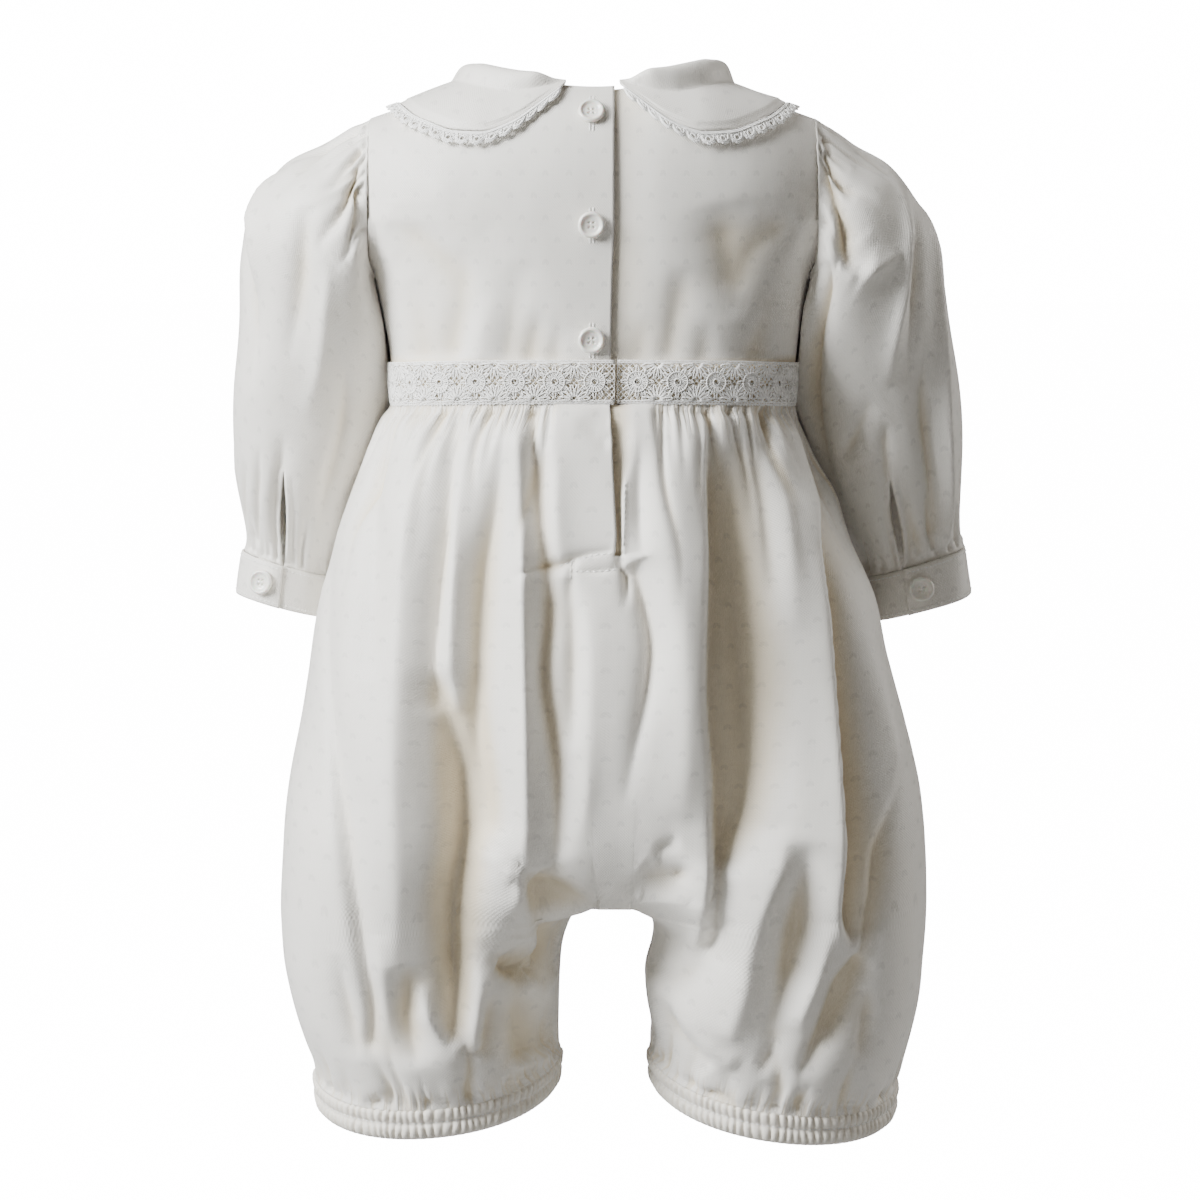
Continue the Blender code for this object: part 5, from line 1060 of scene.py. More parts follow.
def sleeve_folds(degrees, run, section_runs, creases, seed):
    """Height of a sleeve's folds: 1.1 times its creases and a low wave, with
    the gathers at its head, where it is within about 100 degrees of the top,
    and those above the cuff. All of them die out at both ends."""
    mapped = [crease._replace(path=[(0.72 * angle, -np.interp(section, np.arange(13), section_runs))
                                    for angle, section in crease.path]) for crease in creases]
    down = np.broadcast_to(-run, degrees.shape).ravel()
    height = sum(crease_height(0.72 * (degrees + moved).ravel(), down, mapped)
                 for moved in (-360.0, 0.0)).reshape(degrees.shape)
    left_over = run[-1, 0] - run
    from_top = (degrees + 180.0) % 360.0 - 180.0
    upper = 1 - smoothstep(80.0, 118.0, np.abs(from_top))
    head = gather_height((from_top + 120.0) * 0.62, run, 4.3, 30.0, 2.6, seed)
    wrist = gather_height(degrees * 0.42, left_over, 4.2, 20.0, 1.8, seed + 1.0)
    broad = (0.8 * np.sin(np.radians(degrees * 3.0) + run / 21.0 + seed)
             * np.sin(run / 15.0 + np.radians(degrees)))
    inside = smoothstep(0.0, 8.0, run) * smoothstep(0.0, 5.0, left_over)
    height = (1.1 * height + broad) * inside + head * upper + wrist
    return height * smoothstep(0.0, 2.0, run) * smoothstep(0.0, 1.5, left_over)


def beside_body(points, side, degrees, run):
    """A sleeve's x with its inner side moved to the body, by 7 on the left and
    10 on the right, so that no light shows between them. It stops 0.8 outside
    the body's side, whose section is a superellipse of power 2.5, 62 deep."""
    from_top = np.abs((degrees + 180.0) % 360.0 - 180.0)
    within = np.exp(-((180.0 - from_top) / 48.0) ** 2)
    x, y, down = points[:, 0], points[:, 1], -points[:, 2]
    fallen = (smoothstep(60.0, 104.0, down) * (1 - smoothstep(160.0, 206.0, down))
              * smoothstep(0.0, 6.0, run))
    x = x - side * (8.5 + 1.5 * side) * within * fallen
    body = np.interp(down, *np.transpose(BODY_SIDE)) * arch(y / 62.0, BODY_POWER) + 0.8
    beside = (down > BODY_SIDE[0][0]) & (down < BODY_SIDE[-1][0])
    return side * np.maximum(side * x, np.where(beside, body, 0.0))


def make_sleeve(name, rows, creases, cuff, side, seed):
    """The sleeve's first and last columns meet on the line of the slit, and
    stand apart along the slit itself, by a half sine of up to 3.6 mm, with a
    narrow hem on both edges. The last row reaches further, into the cuff."""
    count, cells = 112, 156
    places, sections = np.linspace(0.0, 12.0, count), np.arange(13)
    middles = np.array([((row.outer_x + row.inner_x) / 2, (row.outer_z + row.inner_z) / 2)
                        for row in rows])
    steps = np.linalg.norm(np.diff(middles, axis=0), axis=1)
    section_runs = np.concatenate([[0.0, 13.0], 13.0 + np.cumsum(steps)])
    run = np.interp(places, sections, section_runs)[:, None]
    depths = [rows[0].half_depth, *(row.half_depth for row in rows)]
    half_depth = np.interp(places, sections, depths)[:, None]
    slit_top = section_runs[SLIT_SECTION]
    opened = np.clip((run - slit_top) / (section_runs[-1] - slit_top), 0, 1)
    gap = np.where(opened > 0, 1.7 * np.clip(np.sin(pi * opened), 0, 1) ** 0.9 + 0.1, 0.0)
    away = gap / half_depth
    even = np.linspace(0, 1, cells + 1)
    turn = radians(cuff.opening_angle) + away + even * (2 * pi - 2 * away)
    sheet = np.einsum("rs,srck->rck", spline_weights(places, 13),
                      sleeve_sections(rows, turn, side))
    sheet[-1] += 1.6 * (sheet[-1] - sheet[-2])
    points = sheet.reshape(-1, 3)
    index = np.arange(len(points)).reshape(count, -1)
    corners = grid_faces(index)
    last_joined = np.flatnonzero(places <= SLIT_SECTION)[-1]
    index[:last_joined + 1, -1] = index[:last_joined + 1, 0]
    faces = grid_faces(index)
    axis = np.repeat(sheet.mean(axis=1), cells + 1, axis=0)
    way = facing(points, faces, points - axis)
    faces, corners = faces[:, ::way], corners[:, ::way]
    normals = sheet_normals(points, faces)

    degrees = np.degrees(turn)
    height = sleeve_folds(degrees, run, section_runs, creases, seed)
    edge = np.minimum(even, 1 - even) * 2 * pi * half_depth
    hemmed = np.exp(-((edge - 0.9) / 1.2) ** 2) - 0.8 * np.exp(-((edge - 3.4) / 0.8) ** 2)
    height = height + 0.7 * hemmed * (gap > 0.15)
    points = points + normals * height.reshape(-1, 1)
    points[:, 0] = beside_body(points, side, degrees.ravel(), np.repeat(run, cells + 1))
    place = np.stack(np.broadcast_arrays(degrees * 0.72, -run), axis=-1).reshape(-1, 2)
    # Painted shade: the colour is darker and warmer in the troughs of the folds.
    depth = smoothstep(1.0, 7.0, -height).reshape(-1)
    used, renumbered = np.unique(faces, return_inverse=True)
    piece = cloth_piece(name, points[used], renumbered.reshape(faces.shape), place,
                        corners=corners, depth=depth[used])


make_sleeve("left-sleeve", LEFT_SLEEVE, LEFT_SLEEVE_CREASES, LEFT_CUFF, -1, 0.2)
make_sleeve("right-sleeve", RIGHT_SLEEVE, RIGHT_SLEEVE_CREASES, RIGHT_CUFF, 1, 1.3)


# --------------------------------------------------------------------- cuffs
# A cuff is a folded strip of two layers, edge-stitched all round. Its buttoned
# end lies over its other end, on the side that faces the back.
def cuff_points(cuff, turn, out, shares=(0.0, 0.5, 1.0)):
    """Rows of the cuff from its top edge to its lower edge: ovals of power 0.9."""
    rows = []
    for share in shares:
        outer = np.array(cuff.top_outer) * (1 - share) + np.array(cuff.low_outer) * share
        inner = np.array(cuff.top_inner) * (1 - share) + np.array(cuff.low_inner) * share
        middle, half = (outer + inner) / 2, (outer - inner) / 2
        reach = 1 + out / np.linalg.norm(half)
        plan = middle + half * (powered(np.cos(turn), 0.9) * reach)[:, None]
        y = WRIST_Y - (23.6 + out) * powered(np.sin(turn), 0.9)
        rows.append(np.stack([plan[:, 0], y, plan[:, 1]], axis=1))
    return np.array(rows)


def make_cuff(name, cuff, seed):
    """The strip goes once round from its buttoned end, and on for the overlap,
    where it lies 1.7 higher. Its edges are a little rolled, and small tucks
    cross it: 0.3 sin(5 t) and 0.22 sin(11 t), with t the angle gone round."""
    overlap = radians(34.0)
    travel = np.linspace(0, 2 * pi + overlap, 240)
    turn = radians(cuff.opening_angle) - travel
    out = 1.7 * (1 - smoothstep(overlap + 0.1, overlap + 1.1, travel))
    shares = np.linspace(0, 1, 19)
    sheet = cuff_points(cuff, turn, out, shares)
    points, faces = turned_out(sheet, sheet - sheet.mean(axis=(0, 1)))
    normals = sheet_normals(points, faces)
    end = smoothstep(0.0, 0.10, np.minimum(travel, travel[-1] - travel))
    edges = smoothstep(0.0, 0.10, np.minimum(shares, 1 - shares))[:, None]
    seam = np.exp(-((np.abs(shares - 0.5) - 0.40) / 0.035) ** 2)[:, None]
    stitched = np.exp(-((travel - 0.10) / 0.02) ** 2)
    tucks = (0.30 * np.sin(5 * travel + seed + 2 * shares[:, None])
             + 0.22 * np.sin(11 * travel + seed) * (1 - shares[:, None]))
    pucker = 0.10 * np.sin(travel * 60 + seed) * np.exp(-((shares - 0.92) / 0.06) ** 2)[:, None]
    height = (tucks + pucker) * end + 0.25 * edges * end - 0.22 * seam - 0.2 * stitched
    points = points + normals * height.reshape(-1, 1)
    place = np.stack(np.broadcast_arrays(travel * 23.0, -19.0 * shares[:, None]), axis=-1)
    piece = cloth_piece(name, points, faces, place.reshape(-1, 2), 0.9)


make_cuff("left-cuff", LEFT_CUFF, 0.5)
make_cuff("right-cuff", RIGHT_CUFF, 2.1)


# -------------------------------------------------------------------- collar
# The collar is in two halves of doubled cloth with round ends. Each rises from
# the neckline, rolls over, and lies on the shoulder.
COLLAR_ANGLES = (14.0, 20.0, 28.0, 37.0, 48.0, 63.0, 80.0, 100.0, 120.0, 138.0, 152.0,
                 163.0, 170.0, 175.0)
COLLAR_WIDTHS = (3.0, 12.0, 25.0, 35.0, 40.0, 41.0, 39.0, 38.0, 38.0, 37.0, 32.0,
                 22.0, 11.0, 3.0)
COLLAR_CENTRE = (0.0, 0.0, 60.0)     # the collar faces away from a point this far below


def shoulder_points(angles, distances):
    """Points of the bodice's surface at these distances from the neckline,
    measured along the cloth. Angle 0 is the middle of the back."""
    neck = np.where(np.cos(angles) > 0, BACK_NECK, FRONT_NECK)
    plan = np.stack([NECK_HALF * np.sin(angles), -neck * np.cos(angles)], axis=-1)
    length = np.linalg.norm(plan, axis=1)
    towards = plan / length[:, None]
    chest = np.where(towards[:, 1] < 0, BACK_DEPTH, FRONT_DEPTH)
    sides = np.abs(towards) / np.stack([0 * chest + BODICE_HALF, chest], axis=-1)
    reach = np.sum(sides**BODY_POWER, axis=1) ** (-1 / BODY_POWER)
    share = np.sin(np.linspace(0, pi / 2, 160))[:, None]
    along = length + (reach - length) * share
    x, y = along * towards[:, 0], along * towards[:, 1]
    depth = np.where(y < 0, BACK_DEPTH, FRONT_DEPTH) * arch(x / BODICE_HALF, BODY_POWER)
    rise = arch(y / np.maximum(depth, 1e-6), SHOULDER_POWER)
    z = CHEST_Z + rise * (shoulder_height(x) - CHEST_Z)
    foot = np.stack([x[-1], y[-1], z[-1] * 0 - 120.0], axis=-1)
    path = np.concatenate([np.stack([x, y, z], axis=-1), foot[None]])
    run = np.cumsum(np.linalg.norm(np.diff(path, axis=0), axis=-1), axis=0)
    run = np.vstack([0 * run[:1], run])
    sheet = np.empty(distances.shape + (3,))
    for k in range(len(angles)):
        for axis in range(3):
            sheet[:, k, axis] = np.interp(distances[:, k], run[:, k], path[:, k, axis])
    return sheet


def collar_width(degrees):
    """The collar's width at an angle, smoothed between the rows of its table."""
    fine = np.linspace(14.0, 175.0, 400)
    width = np.interp(fine, COLLAR_ANGLES, COLLAR_WIDTHS)
    bell = np.exp(-(np.linspace(-2, 2, 21) ** 2))
    smooth = np.convolve(np.pad(width, 10, mode="reflect", reflect_type="odd"),
                         bell / bell.sum(), mode="valid")
    return np.interp(degrees, fine, smooth) - 0.9


def collar_half(name, side, roll_height, seed):
    """The cloth's lift off the shoulder is 2.7, plus the roll's height times
    sin(pi share / 0.4)^1.2 near the neck, plus a plump edge with its seam and
    two soft waves."""
    share = np.linspace(0, 1, 151)
    degrees = 14.0 + 161.0 * (share - 0.05 * np.sin(4 * pi * share))
    width = collar_width(degrees)
    parts = np.linspace(0, 1, 44) ** 0.92
    distances = parts[:, None] * width
    sheet = shoulder_points(np.radians(degrees), distances)
    sheet[..., 0] *= side
    points, faces = turned_out(sheet, sheet + COLLAR_CENTRE)
    normals = sheet_normals(points, faces)
    roll = np.sin(pi * np.clip(parts / 0.40, 0, 1))[:, None] ** 1.2
    full = smoothstep(4.0, 26.0, width)[None, :]
    edge = (1 - parts)[:, None] * width
    plump = 0.9 * smoothstep(0.0, 3.5, edge) - 0.4
    seam = -0.35 * np.exp(-((edge - 2.2) / 0.5) ** 2)
    waves = (0.5 * np.sin(degrees / 9.0 + seed) * np.sin(pi * parts)[:, None]
             + 0.35 * np.sin(degrees / 4.1 + seed + parts[:, None] * 3.0) * parts[:, None] ** 2)
    lifts = 2.7 + roll_height * roll * full + (plump + seam + waves) * full
    points = points + normals * lifts.reshape(-1, 1)
    place = np.stack(np.broadcast_arrays(degrees * 1.1, -distances), axis=-1).reshape(-1, 2)
    return cloth_piece(name, points, faces, place, 1.1)


LEFT_COLLAR = collar_half("collar-left", -1, 4.6, 0.4)
RIGHT_COLLAR = collar_half("collar-right", 1, 6.6, 1.5)


# ----------------------------------------------------------- lace on the collar
# A narrow crocheted edging is sewn round each half of the collar: a double
# heading thread, then scallops worked round a small open ring, each edged with
# little picots.
def lace_material():
    """Matt white thread, with its twist as a fine bump."""
    material, surface, start = new_material("ivory lace thread", (0.97, 0.96, 0.93), 0.7)
    place = start.node("ShaderNodeTexCoord", {}, {}, 3)
    twist = start.node("ShaderNodeTexNoise", {}, {"Vector": place, "Scale": 2600.0,
                                                  "Detail": 1.0})
    bump = start.node("ShaderNodeBump", {}, {"Strength": 0.4, "Distance": 0.0003,
                                             "Height": twist})
    material.node_tree.links.new(bump.socket, surface.inputs["Normal"])
    surface.inputs["Sheen Weight"].default_value = 0.2
    return material


THREAD = lace_material()


def thread_mesh(groups):
    """Square-sectioned threads, smoothed round. Each group is an array of lines
    of the same number of points, the direction away from the cloth at each
    point, and the thread's radius. Round each point p its four corners lie at
    p + radius (cos a side + sin a away), and both ends are closed."""
    points, faces, count = [], [], 0
    for lines, away, radius in groups:
        along = np.gradient(lines, axis=1)
        side = np.cross(away, along)
        side /= np.maximum(np.linalg.norm(side, axis=-1, keepdims=True), 1e-9)
        turn = np.arange(4) * pi / 2 + pi / 4
        ring = (lines[:, :, None] + radius * (np.cos(turn)[:, None] * side[:, :, None]
                                              + np.sin(turn)[:, None] * away[:, :, None]))
        index = np.arange(ring.size // 3).reshape(ring.shape[:3]) + count
        closed = np.concatenate([index, index[:, :, :1]], axis=2)
        corners = (closed[:, :-1, :-1], closed[:, :-1, 1:], closed[:, 1:, 1:], closed[:, 1:, :-1])
        faces += [np.stack(corners, axis=-1).reshape(-1, 4), index[:, 0, ::-1], index[:, -1]]
        points.append(ring.reshape(-1, 3))
        count += ring.size // 3
    return np.vstack(points), np.vstack(faces).tolist()


def repeated(motif, pitch, count):
    """A motif's lines set count times along a strip, each one pitch further."""
    lines = np.array(motif, float)[None]
    moves = np.arange(count)[:, None, None, None] * [pitch, 0.0, 0.0]
    return (lines + moves).reshape(-1, lines.shape[-2], 3)


def zigzag(length, count, middle, half, lift):
    """A thread that crosses a strip's line count times, half to either side."""
    way = np.cos(np.arange(count) * pi)
    return np.stack([np.linspace(0, length, count), middle + half * way, lift(way)], axis=-1)[None]


def arc_line(centre, radius, start, end, count, lift=0.0):
    """Points round a circle of the flat strip, from one angle to another."""
    turn = np.radians(np.linspace(start, end, count))
    return np.stack([centre[0] + radius * np.cos(turn), centre[1] + radius * np.sin(turn),
                     0 * turn + lift], axis=-1)


def legs(centre, inner, outer, count, lift=0.0, start=0.0):
    """Straight threads out from a centre, evenly round it."""
    turn = np.radians(start + np.arange(count) * 360.0 / count)[:, None]
    radius = np.array([inner, outer])[None]
    return np.stack([centre[0] + radius * np.cos(turn), centre[1] + radius * np.sin(turn),
                     0 * turn + lift + 0 * radius], axis=-1)


def collar_edge(side):
    """The collar's outline as a function: it takes a flat strip's points, whose
    first coordinate runs along the edge and whose second goes outwards, to the
    shoulder, and gives their places and the directions away from the cloth."""
    degrees = np.linspace(15.0, 174.0, 500)
    width = collar_width(degrees)
    spread = np.linspace(0.0, 7.0, 8)[:, None]
    sheet = shoulder_points(np.radians(degrees), width + 0.3 + spread)
    sheet[..., 0] *= side
    normals = sheet_normals(*turned_out(sheet, sheet + COLLAR_CENTRE)).reshape(sheet.shape)
    run = np.concatenate([[0], np.cumsum(np.linalg.norm(np.diff(sheet[3], axis=0), axis=1))])

    def place(lines):
        along = np.interp(lines[..., 0], run, np.arange(len(run)))
        row = np.clip(lines[..., 1], 0.0, 6.999)
        i, j = row.astype(int), np.minimum(along.astype(int), len(run) - 2)
        a, b = (row - i)[..., None], (along - j)[..., None]
        spots = [(table[i, j] * (1 - a) * (1 - b) + table[i + 1, j] * a * (1 - b)
                  + table[i, j + 1] * (1 - a) * b + table[i + 1, j + 1] * a * b)
                 for table in (sheet, normals)]
        sway = 0.35 * np.sin(lines[..., 0] / 3.1) * lines[..., 1] / 6.0
        return spots[0] + spots[1] * (2.3 + sway + lines[..., 2])[..., None], spots[1]

    return place, run[-1]


def collar_lace(name, side):
    """Scallops about 6 mm apart: a ring with a hole, spokes from the ring to
    the scallop's two arcs, a zigzag over the heading, and five picots."""
    place, length = collar_edge(side)
    count = round(length / 6.2)
    pitch = length / count
    half = pitch / 2
    heading = np.stack([np.linspace(0, length, 4 * count), np.full(4 * count, 0.55),
                        np.zeros(4 * count)], axis=-1)[None]
    second = heading + [0.0, 0.75, 0.25]
    cross = zigzag(length, 6 * count, 1.55, 0.55, lambda way: 0.1 * way)
    ring = repeated([arc_line((half, 3.5), 1.15, 0, 360, 10, 0.15)], pitch, count)
    arcs = repeated([arc_line((half, 2.4), half * 0.98, -15, 195, 10)], pitch, count)
    inner = repeated([arc_line((half, 2.5), half * 0.76, -10, 190, 9, 0.2)], pitch, count)
    spokes = repeated(legs((half, 3.5), 1.3, 2.6, 7, 0.1, 10.0), pitch, count)
    picots = repeated([arc_line((half + (half * 1.05) * np.cos(turn),
                                 2.4 + half * 1.05 * np.sin(turn)), 0.42,
                                np.degrees(turn) - 120, np.degrees(turn) + 120, 4)
                       for turn in np.radians((12, 50, 90, 130, 168))], pitch, count)
    joins = repeated([arc_line((0.0, 2.2), 0.6, 180, 360, 5, 0.2)], pitch, count)
    groups = [(*place(lines), radius) for lines, radius in (
        (heading, 0.42), (second, 0.40), (cross, 0.36), (ring, 0.36), (arcs, 0.42),
        (inner, 0.34), (spokes, 0.30), (picots, 0.28), (joins, 0.34))]
    piece = new_piece(name, *thread_mesh(groups), THREAD, "lace", name.replace("-", "_"))


collar_lace("collar-lace-left", -1)
collar_lace("collar-lace-right", 1)


# ---------------------------------------------------------- lace round the waist
# A straight lace covers the waist seam: a diagonal net between two edges of
# doubled cord, with a row of round flowers over it. Half flowers fill the
# corners between them, and small loops finish the lower edge.
def waist_place(lines):
    """Takes a flat strip's points (distance round, distance down, lift) to the
    bodice's ring, |x / half|^2.5 + |y / depth|^2.5 = 1. It starts at the flap's
    edge and runs round the left side, the front and the right side."""
    half = 85.6
    start = np.arcsin((FLAP_X / half) ** 1.25)
    fine = np.linspace(0.0, 0.9985, 4000)
    turn = start - fine * 2 * pi
    depth = np.where(np.cos(turn) > 0, BACK_DEPTH, FRONT_DEPTH)
    ring = np.stack([half * powered(np.sin(turn), 0.8), -depth * powered(np.cos(turn), 0.8)])
    run = np.concatenate([[0], np.cumsum(np.linalg.norm(np.diff(ring, axis=1), axis=0))])
    turn = np.interp(lines[..., 0], run, turn)
    z = -119.7 - lines[..., 1]
    half = np.interp(z, RING_Z[:3], RING_HALF[:3])
    depth = np.where(np.cos(turn) > 0, BACK_DEPTH, FRONT_DEPTH)
    x = half * powered(np.sin(turn), 0.8)
    y = -depth * powered(np.cos(turn), 0.8)
    away = np.stack([powered(x, 1.5) / half**BODY_POWER, powered(y, 1.5) / depth**BODY_POWER,
                     0 * x], axis=-1)
    away /= np.linalg.norm(away, axis=-1, keepdims=True)
    under = np.where(lines[..., 0] > 0.8 * run[-1], flap_sink(x), 0.0)
    lift = 0.95 + lines[..., 2] - under
    spots = np.stack([x, y, z + waist_lift(y, z)], axis=-1) + away * lift[..., None]
    return spots, away, run[-1]


def petals(centre, inner, outer, half, degrees, lift):
    """Loops of thread round a centre: each goes from radius inner to outer and
    back, and is half wide to either side of its own middle line."""
    turn = np.radians(degrees)[:, None]
    share = np.linspace(0, 2 * pi, 8)
    radius = inner + (outer - inner) * (1 - np.cos(share)) / 2
    aside = half * np.sin(share) * (0.6 + 0.4 * (1 - np.cos(share)) / 2)
    return np.stack([centre[0] + radius * np.cos(turn) - aside * np.sin(turn),
                     centre[1] + radius * np.sin(turn) + aside * np.cos(turn),
                     0 * turn + lift + 0 * radius], axis=-1)


def make_waist_lace():
    """Each repeat is 16.5 mm long: a flower of 12 loops, and two half flowers of
    8 loops that fill the corners from the edges. Net threads lie behind them
    at 45 degrees, 2.4 mm apart, and rise and fall over each other by 0.14."""
    length = waist_place(np.zeros((1, 1, 3)))[2]
    count = round(length / 16.5)
    pitch = length / count
    share = np.linspace(0, 1, 10)
    starts = np.arange(-14.0, length - 1.0, 2.4)
    nets = []
    for way in (1, -1):
        first = starts if way > 0 else starts + 15.6
        s = first[:, None] + way * 16.6 * share
        over = 0.14 * np.sin(share * 9 * pi + np.arange(len(first))[:, None] * pi) * way
        line = np.stack([s, np.broadcast_to(0.9 + 16.6 * share, s.shape), over], axis=-1)
        line[..., 0] = np.clip(line[..., 0], 0.0, length)
        nets.append(line)
    fine = np.linspace(0, length, 10 * count + 1)
    cords = [np.stack([fine, 0 * fine + t, 0 * fine + lift], axis=-1)[None]
             for t, lift in ((0.35, 0.0), (1.25, 0.1), (17.15, 0.1), (18.05, 0.0))]
    bars = [zigzag(length, 11 * count, t, 0.42, lambda way: 0.15 + 0 * way) for t in (0.8, 17.6)]
    middle, corner = pitch / 2, pitch * 0.999
    flowers = [repeated(petals((middle, 9.2), 1.5, 6.9, 0.78, np.arange(12) * 30.0, 0.35),
                        pitch, count),
               repeated(petals((corner, 1.6), 1.4, 6.6, 0.76, np.linspace(8, 172, 8), 0.3),
                        pitch, count - 1),
               repeated(petals((corner, 16.8), 1.4, 6.6, 0.76, np.linspace(188, 352, 8), 0.3),
                        pitch, count - 1)]
    rings = [repeated([arc_line((middle, 9.2), 1.4, 0, 360, 11, 0.6)], pitch, count),
             repeated([arc_line((middle, 9.2), 4.2, 0, 360, 19, 0.55)], pitch, count)]
    edging = repeated([arc_line((0.8 + 1.5 * k, 18.1), 0.5, 0, 180, 4) for k in range(10)],
                      pitch, count)
    groups = [(lines, 0.24) for lines in nets] + [(lines, 0.34) for lines in cords]
    groups += [(lines, 0.26) for lines in bars] + [(lines, 0.36) for lines in flowers]
    groups += [(lines, 0.34) for lines in rings] + [(edging, 0.26)]
    placed = [(*waist_place(lines)[:2], radius) for lines, radius in groups]
    return new_piece("waist-lace", *thread_mesh(placed), THREAD, "lace", "waist_lace")


make_waist_lace()


# ------------------------------------------------------------------ stitches
# Rows of stitches hold the slit's end, the hems' elastic, and the cuffs' edges.
# A buttonhole of close small stitches shows above and below each back button.
def stitches(sheet, path, towards, length=1.7, gap=0.9, lift=0.14):
    """Stitches along a path that runs outside the cloth. Each of a stitch's
    three points goes along its own direction to where it meets the cloth. The
    middle one lies above the cloth by lift, and its ends 0.1 below."""
    path, towards = np.array(path, float), np.array(towards, float)
    run = np.concatenate([[0], np.cumsum(np.linalg.norm(np.diff(path, axis=0), axis=1))])
    lines, aways = [], []
    for start in np.arange(0.3, run[-1] - length, length + gap):
        line, away = [], []
        for part, rise in ((0.0, -0.1), (0.5, lift), (1.0, -0.1)):
            spot, way = [[np.interp(start + part * length, run, table[:, k]) for k in range(3)]
                         for table in (path, towards)]
            place, normal = sheet.ray_cast(spot, way)[:2]
            if place is not None:
                line.append(np.array(place) + rise * np.array(normal))
                away.append(np.array(normal))
        if len(line) == 3:
            lines.append(line)
            aways.append(away)
    return np.array(lines), np.array(aways), 0.24


def sewn_from_behind(sheet, flat, **sizes):
    """Stitches along (x, z) corners of the back."""
    path = [(x, -140.0, z) for x, z in flat]
    return stitches(sheet, path, np.tile([0.0, 1.0, 0.0], (len(path), 1)), **sizes)


box = [sewn_from_behind(SHEETS["skirt-back"], flat) for flat in (
    [(-14.0, -200.4), (-6.0, -197.2), (2.0, -195.3), (10.0, -194.6)],
    [(-8.0, -202.0), (0.0, -202.2), (11.0, -201.4)],
    [(-8.6, -198.0), (-9.2, -207.0)], [(13.2, -166.0), (13.0, -182.0), (12.2, -196.0)])]
new_piece("slit-stitches", *thread_mesh(box), THREAD, "cotton", "skirt_back")

for edge, drop in LEG_DROPS.items():
    turn = np.linspace(0, 2 * pi, 300)
    outer, inner = leg_end(edge)
    ridge, half = (outer + inner) / 2, abs(outer - inner) / 2
    plan = np.stack([powered(np.cos(turn), 2 / LEG_POWER), powered(np.sin(turn), 2 / LEG_POWER),
                     0 * turn], axis=-1)
    path = plan * [half + 9.0, 65.0, 0.0] + [ridge, 0.0, 0.0]
    part = np.clip((ridge + half * plan[:, 0] - inner) / (outer - inner), 0.0, 1.0)
    path[:, 2] = HEM_TOP_Z - 6.2 - drop * part - HEM_CURVE * np.abs(plan[:, 1])
    line = stitches(SHEETS[f"{edge}-leg-hem"], path, -plan, lift=0.2)
    new_piece(f"{edge}-leg-stitches", *thread_mesh([line]), THREAD, "cotton", f"{edge}_leg_hem")

for name, cuff in (("left-cuff", LEFT_CUFF), ("right-cuff", RIGHT_CUFF)):
    turn = radians(cuff.opening_angle) - np.linspace(0.06, 2 * pi, 200)
    paths = cuff_points(cuff, turn, 9.0, (0.09, 0.91))
    middles = cuff_points(cuff, turn, -14.0, (0.09, 0.91))
    lines = [stitches(SHEETS[name], path, middle - path) for path, middle in zip(paths, middles)]
    new_piece(f"{name}-stitches", *thread_mesh(lines), THREAD, "cotton", name.replace("-", "_"))

BACK_BUTTONS_Z = (-16.0, -61.5, -108.5)
holes = []
for z in BACK_BUTTONS_Z:
    for x in (-1.25, 0.25):
        column = [sewn_from_behind(SHEETS["back-bodice-left"],
                                   [(x - 0.6, z + step), (x + 1.4, z + step)],
                                   length=1.0, gap=2.0) for step in np.arange(-7.2, 7.3, 0.5)]
        holes += [group for group in column if len(group[0])]
new_piece("buttonholes", *thread_mesh(holes), THREAD, "cotton", "back_bodice_left")


# ------------------------------------------------------------------- buttons
# Five turned resin buttons with a raised rim and four holes.
def button_material():
    """Pale resin with a hint of pearl: glossy, a little see-through."""
    material, surface = new_material("pearl resin", (0.86, 0.84, 0.77), 0.25)[:2]
    surface.inputs["Coat Weight"].default_value = 0.4
    surface.inputs["Subsurface Weight"].default_value = 0.15
    surface.inputs["Subsurface Scale"].default_value = 0.002
    return material


RESIN = button_material()


def make_button(name, centre, outwards):
    """A turned form: its radius and its height follow the outline below. The
    four holes are dimples, 0.8 exp(-(d / 0.5)^4) deep at distance d."""
    outwards = np.asarray(outwards, float) / np.linalg.norm(outwards)
    across = np.cross(outwards, [0.0, 0.0, 1.0])
    across /= np.linalg.norm(across)
    upright = np.cross(across, outwards)
    turn = np.linspace(0, 2 * pi, 60, endpoint=False)
    outline = np.array([(0.02, 1.0), (1.6, 1.02), (2.9, 1.15), (3.6, 1.5), (4.2, 2.0), (4.7, 2.05),
                        (5.2, 1.75), (5.5, 1.2), (5.3, 0.5), (4.6, 0.0), (0.02, 0.0)])
    fine = spline_weights(np.linspace(0, 10, 52), len(outline)) @ outline
    radius, height = fine[:, [0]], fine[:, [1]] + 0 * turn
    a, b = radius * np.cos(turn), radius * np.sin(turn)
    for hole_a, hole_b in ((1.0, 1.0), (1.0, -1.0), (-1.0, 1.0), (-1.0, -1.0)):
        away = np.hypot(a - hole_a * 0.95, b - hole_b * 0.95)
        height = height - 0.8 * np.exp(-((away / 0.5) ** 4)) * (height > 0.6)
    points = (centre + a[..., None] * across + b[..., None] * upright
              + height[..., None] * outwards).reshape(-1, 3)
    index = np.arange(len(points)).reshape(52, -1)
    faces = grid_faces(np.hstack([index, index[:, :1]]))
    faces = faces[:, ::facing(points, faces, points - points.mean(axis=0))].tolist()
    for ring, turned in ((index[0], 1), (index[-1], -1)):
        faces.append(ring[::turned].tolist())
    new_piece(name, points, faces, RESIN, "button", name.replace("-", "_"))


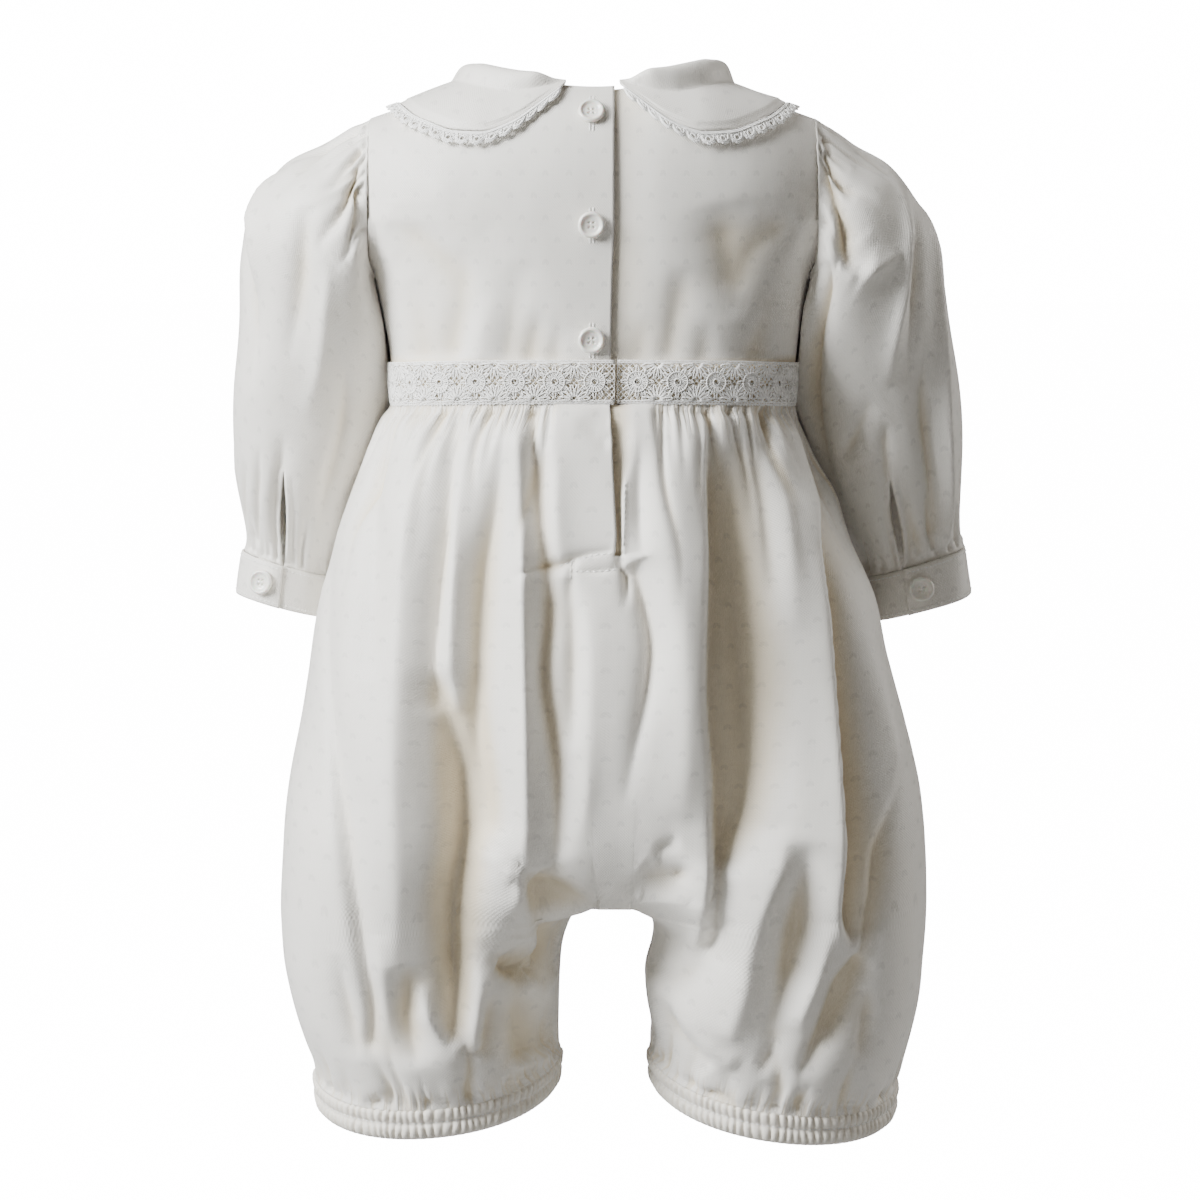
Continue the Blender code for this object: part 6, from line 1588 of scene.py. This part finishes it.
for number, z in enumerate(BACK_BUTTONS_Z, start=1):
    height = NECK_RISE - CHEST_Z
    rise = max((z - CHEST_Z) / height, 0.0)
    slope = (rise / arch(rise, SHOULDER_POWER)) ** (SHOULDER_POWER - 1)
    outwards = np.array([0.0, -1.0, slope * BACK_DEPTH / height])
    spot = np.array([-0.5, -BACK_DEPTH * arch(rise, SHOULDER_POWER), z])
    make_button(f"back-button-{number}", spot + 0.65 * outwards / np.linalg.norm(outwards),
                outwards)
for name, cuff in (("left-cuff-button", LEFT_CUFF), ("right-cuff-button", RIGHT_CUFF)):
    turn = np.radians([cuff.button_angle])
    spot = cuff_points(cuff, turn, np.array([2.45]))[1, 0]
    make_button(name, spot, spot - cuff_points(cuff, turn, np.array([0.0]))[1, 0])


# --------------------------------------------------- the floor, light and camera
# A plain pale floor, and a large soft light from the left, as in the photo. The
# camera sees the floor and all that lies beyond it as plain white. They light
# the cloth much less than that: the floor by what it reflects, and the world by
# a faint warm glow.
def make_floor():
    """A wide plane, 0.62 m below the neck. Only the camera sees it glow."""
    mesh = bpy.data.meshes.new("floor")
    mesh.from_pydata([(-20, -20, -0.62), (20, -20, -0.62), (20, 20, -0.62), (-20, 20, -0.62)],
                     [], [(0, 1, 2, 3)])
    material, surface, start = new_material("pale floor", (0.32, 0.32, 0.32), 0.8)
    surface.inputs["Specular IOR Level"].default_value = 0.1
    seen = start.node("ShaderNodeLightPath", {}, {})
    glow = start.node("ShaderNodeCombineXYZ", {}, {0: seen, 1: seen, 2: seen})
    material.node_tree.links.new(glow.socket, surface.inputs["Emission Color"])
    surface.inputs["Emission Strength"].default_value = 15.6
    mesh.materials.append(material)
    floor = bpy.data.objects.new("floor", mesh)
    bpy.context.scene.collection.objects.link(floor)


def soft_light(name, place, target, size, power, colour):
    """A square area light of this size in metres, turned towards its target."""
    light = bpy.data.lights.new(name, "AREA")
    light.shape = "SQUARE"
    light.size = size
    light.energy = power
    light.color = colour
    lamp = bpy.data.objects.new(name, light)
    lamp.location = place
    lamp.rotation_euler = (Vector(target) - Vector(place)).to_track_quat("-Z", "Y").to_euler()
    bpy.context.scene.collection.objects.link(lamp)


make_floor()
soft_light("key", (-1.6, -0.85, 0.72), (0, 0, -0.2), 0.9, 118.0, (0.965, 0.985, 1.0))
soft_light("fill", (1.8, -2.4, 0.3), (0, 0, -0.25), 2.2, 2.0, (1.0, 0.97, 0.92))
soft_light("top", (-0.5, -0.3, 0.75), (-0.03, 0, 0), 0.5, 6.5, (1.0, 1.0, 1.0))
soft_light("rim", (2.1, 0.95, 0.4), (0, 0, -0.2), 1.2, 26.0, (1.0, 0.98, 0.94))

world = bpy.data.worlds.new("studio")
bpy.context.scene.world = world
world.use_nodes = True
tree = world.node_tree
start = Signal(tree, None)
seen = start.node("ShaderNodeLightPath", {}, {})
light = start.node("ShaderNodeBackground", {}, {"Color": (1.0, 0.93, 0.82, 1.0), "Strength": 0.12})
plain = start.node("ShaderNodeBackground", {}, {"Color": (1.0, 1.0, 1.0, 1.0), "Strength": 16.0})
both = start.node("ShaderNodeMixShader", {}, {0: seen, 1: light, 2: plain})
tree.links.new(both.socket, tree.nodes["World Output"].inputs["Surface"])

camera_data = bpy.data.cameras.new("camera")
camera_data.lens = 105.3
camera_data.sensor_width = 36.0
camera = bpy.data.objects.new("camera", camera_data)
camera.location = (0.003, -1.5, -0.055)
towards = Vector((0.003, 0.0, -0.22217)) - camera.location
camera.rotation_euler = towards.to_track_quat("-Z", "Y").to_euler()
bpy.context.scene.collection.objects.link(camera)
bpy.context.scene.camera = camera
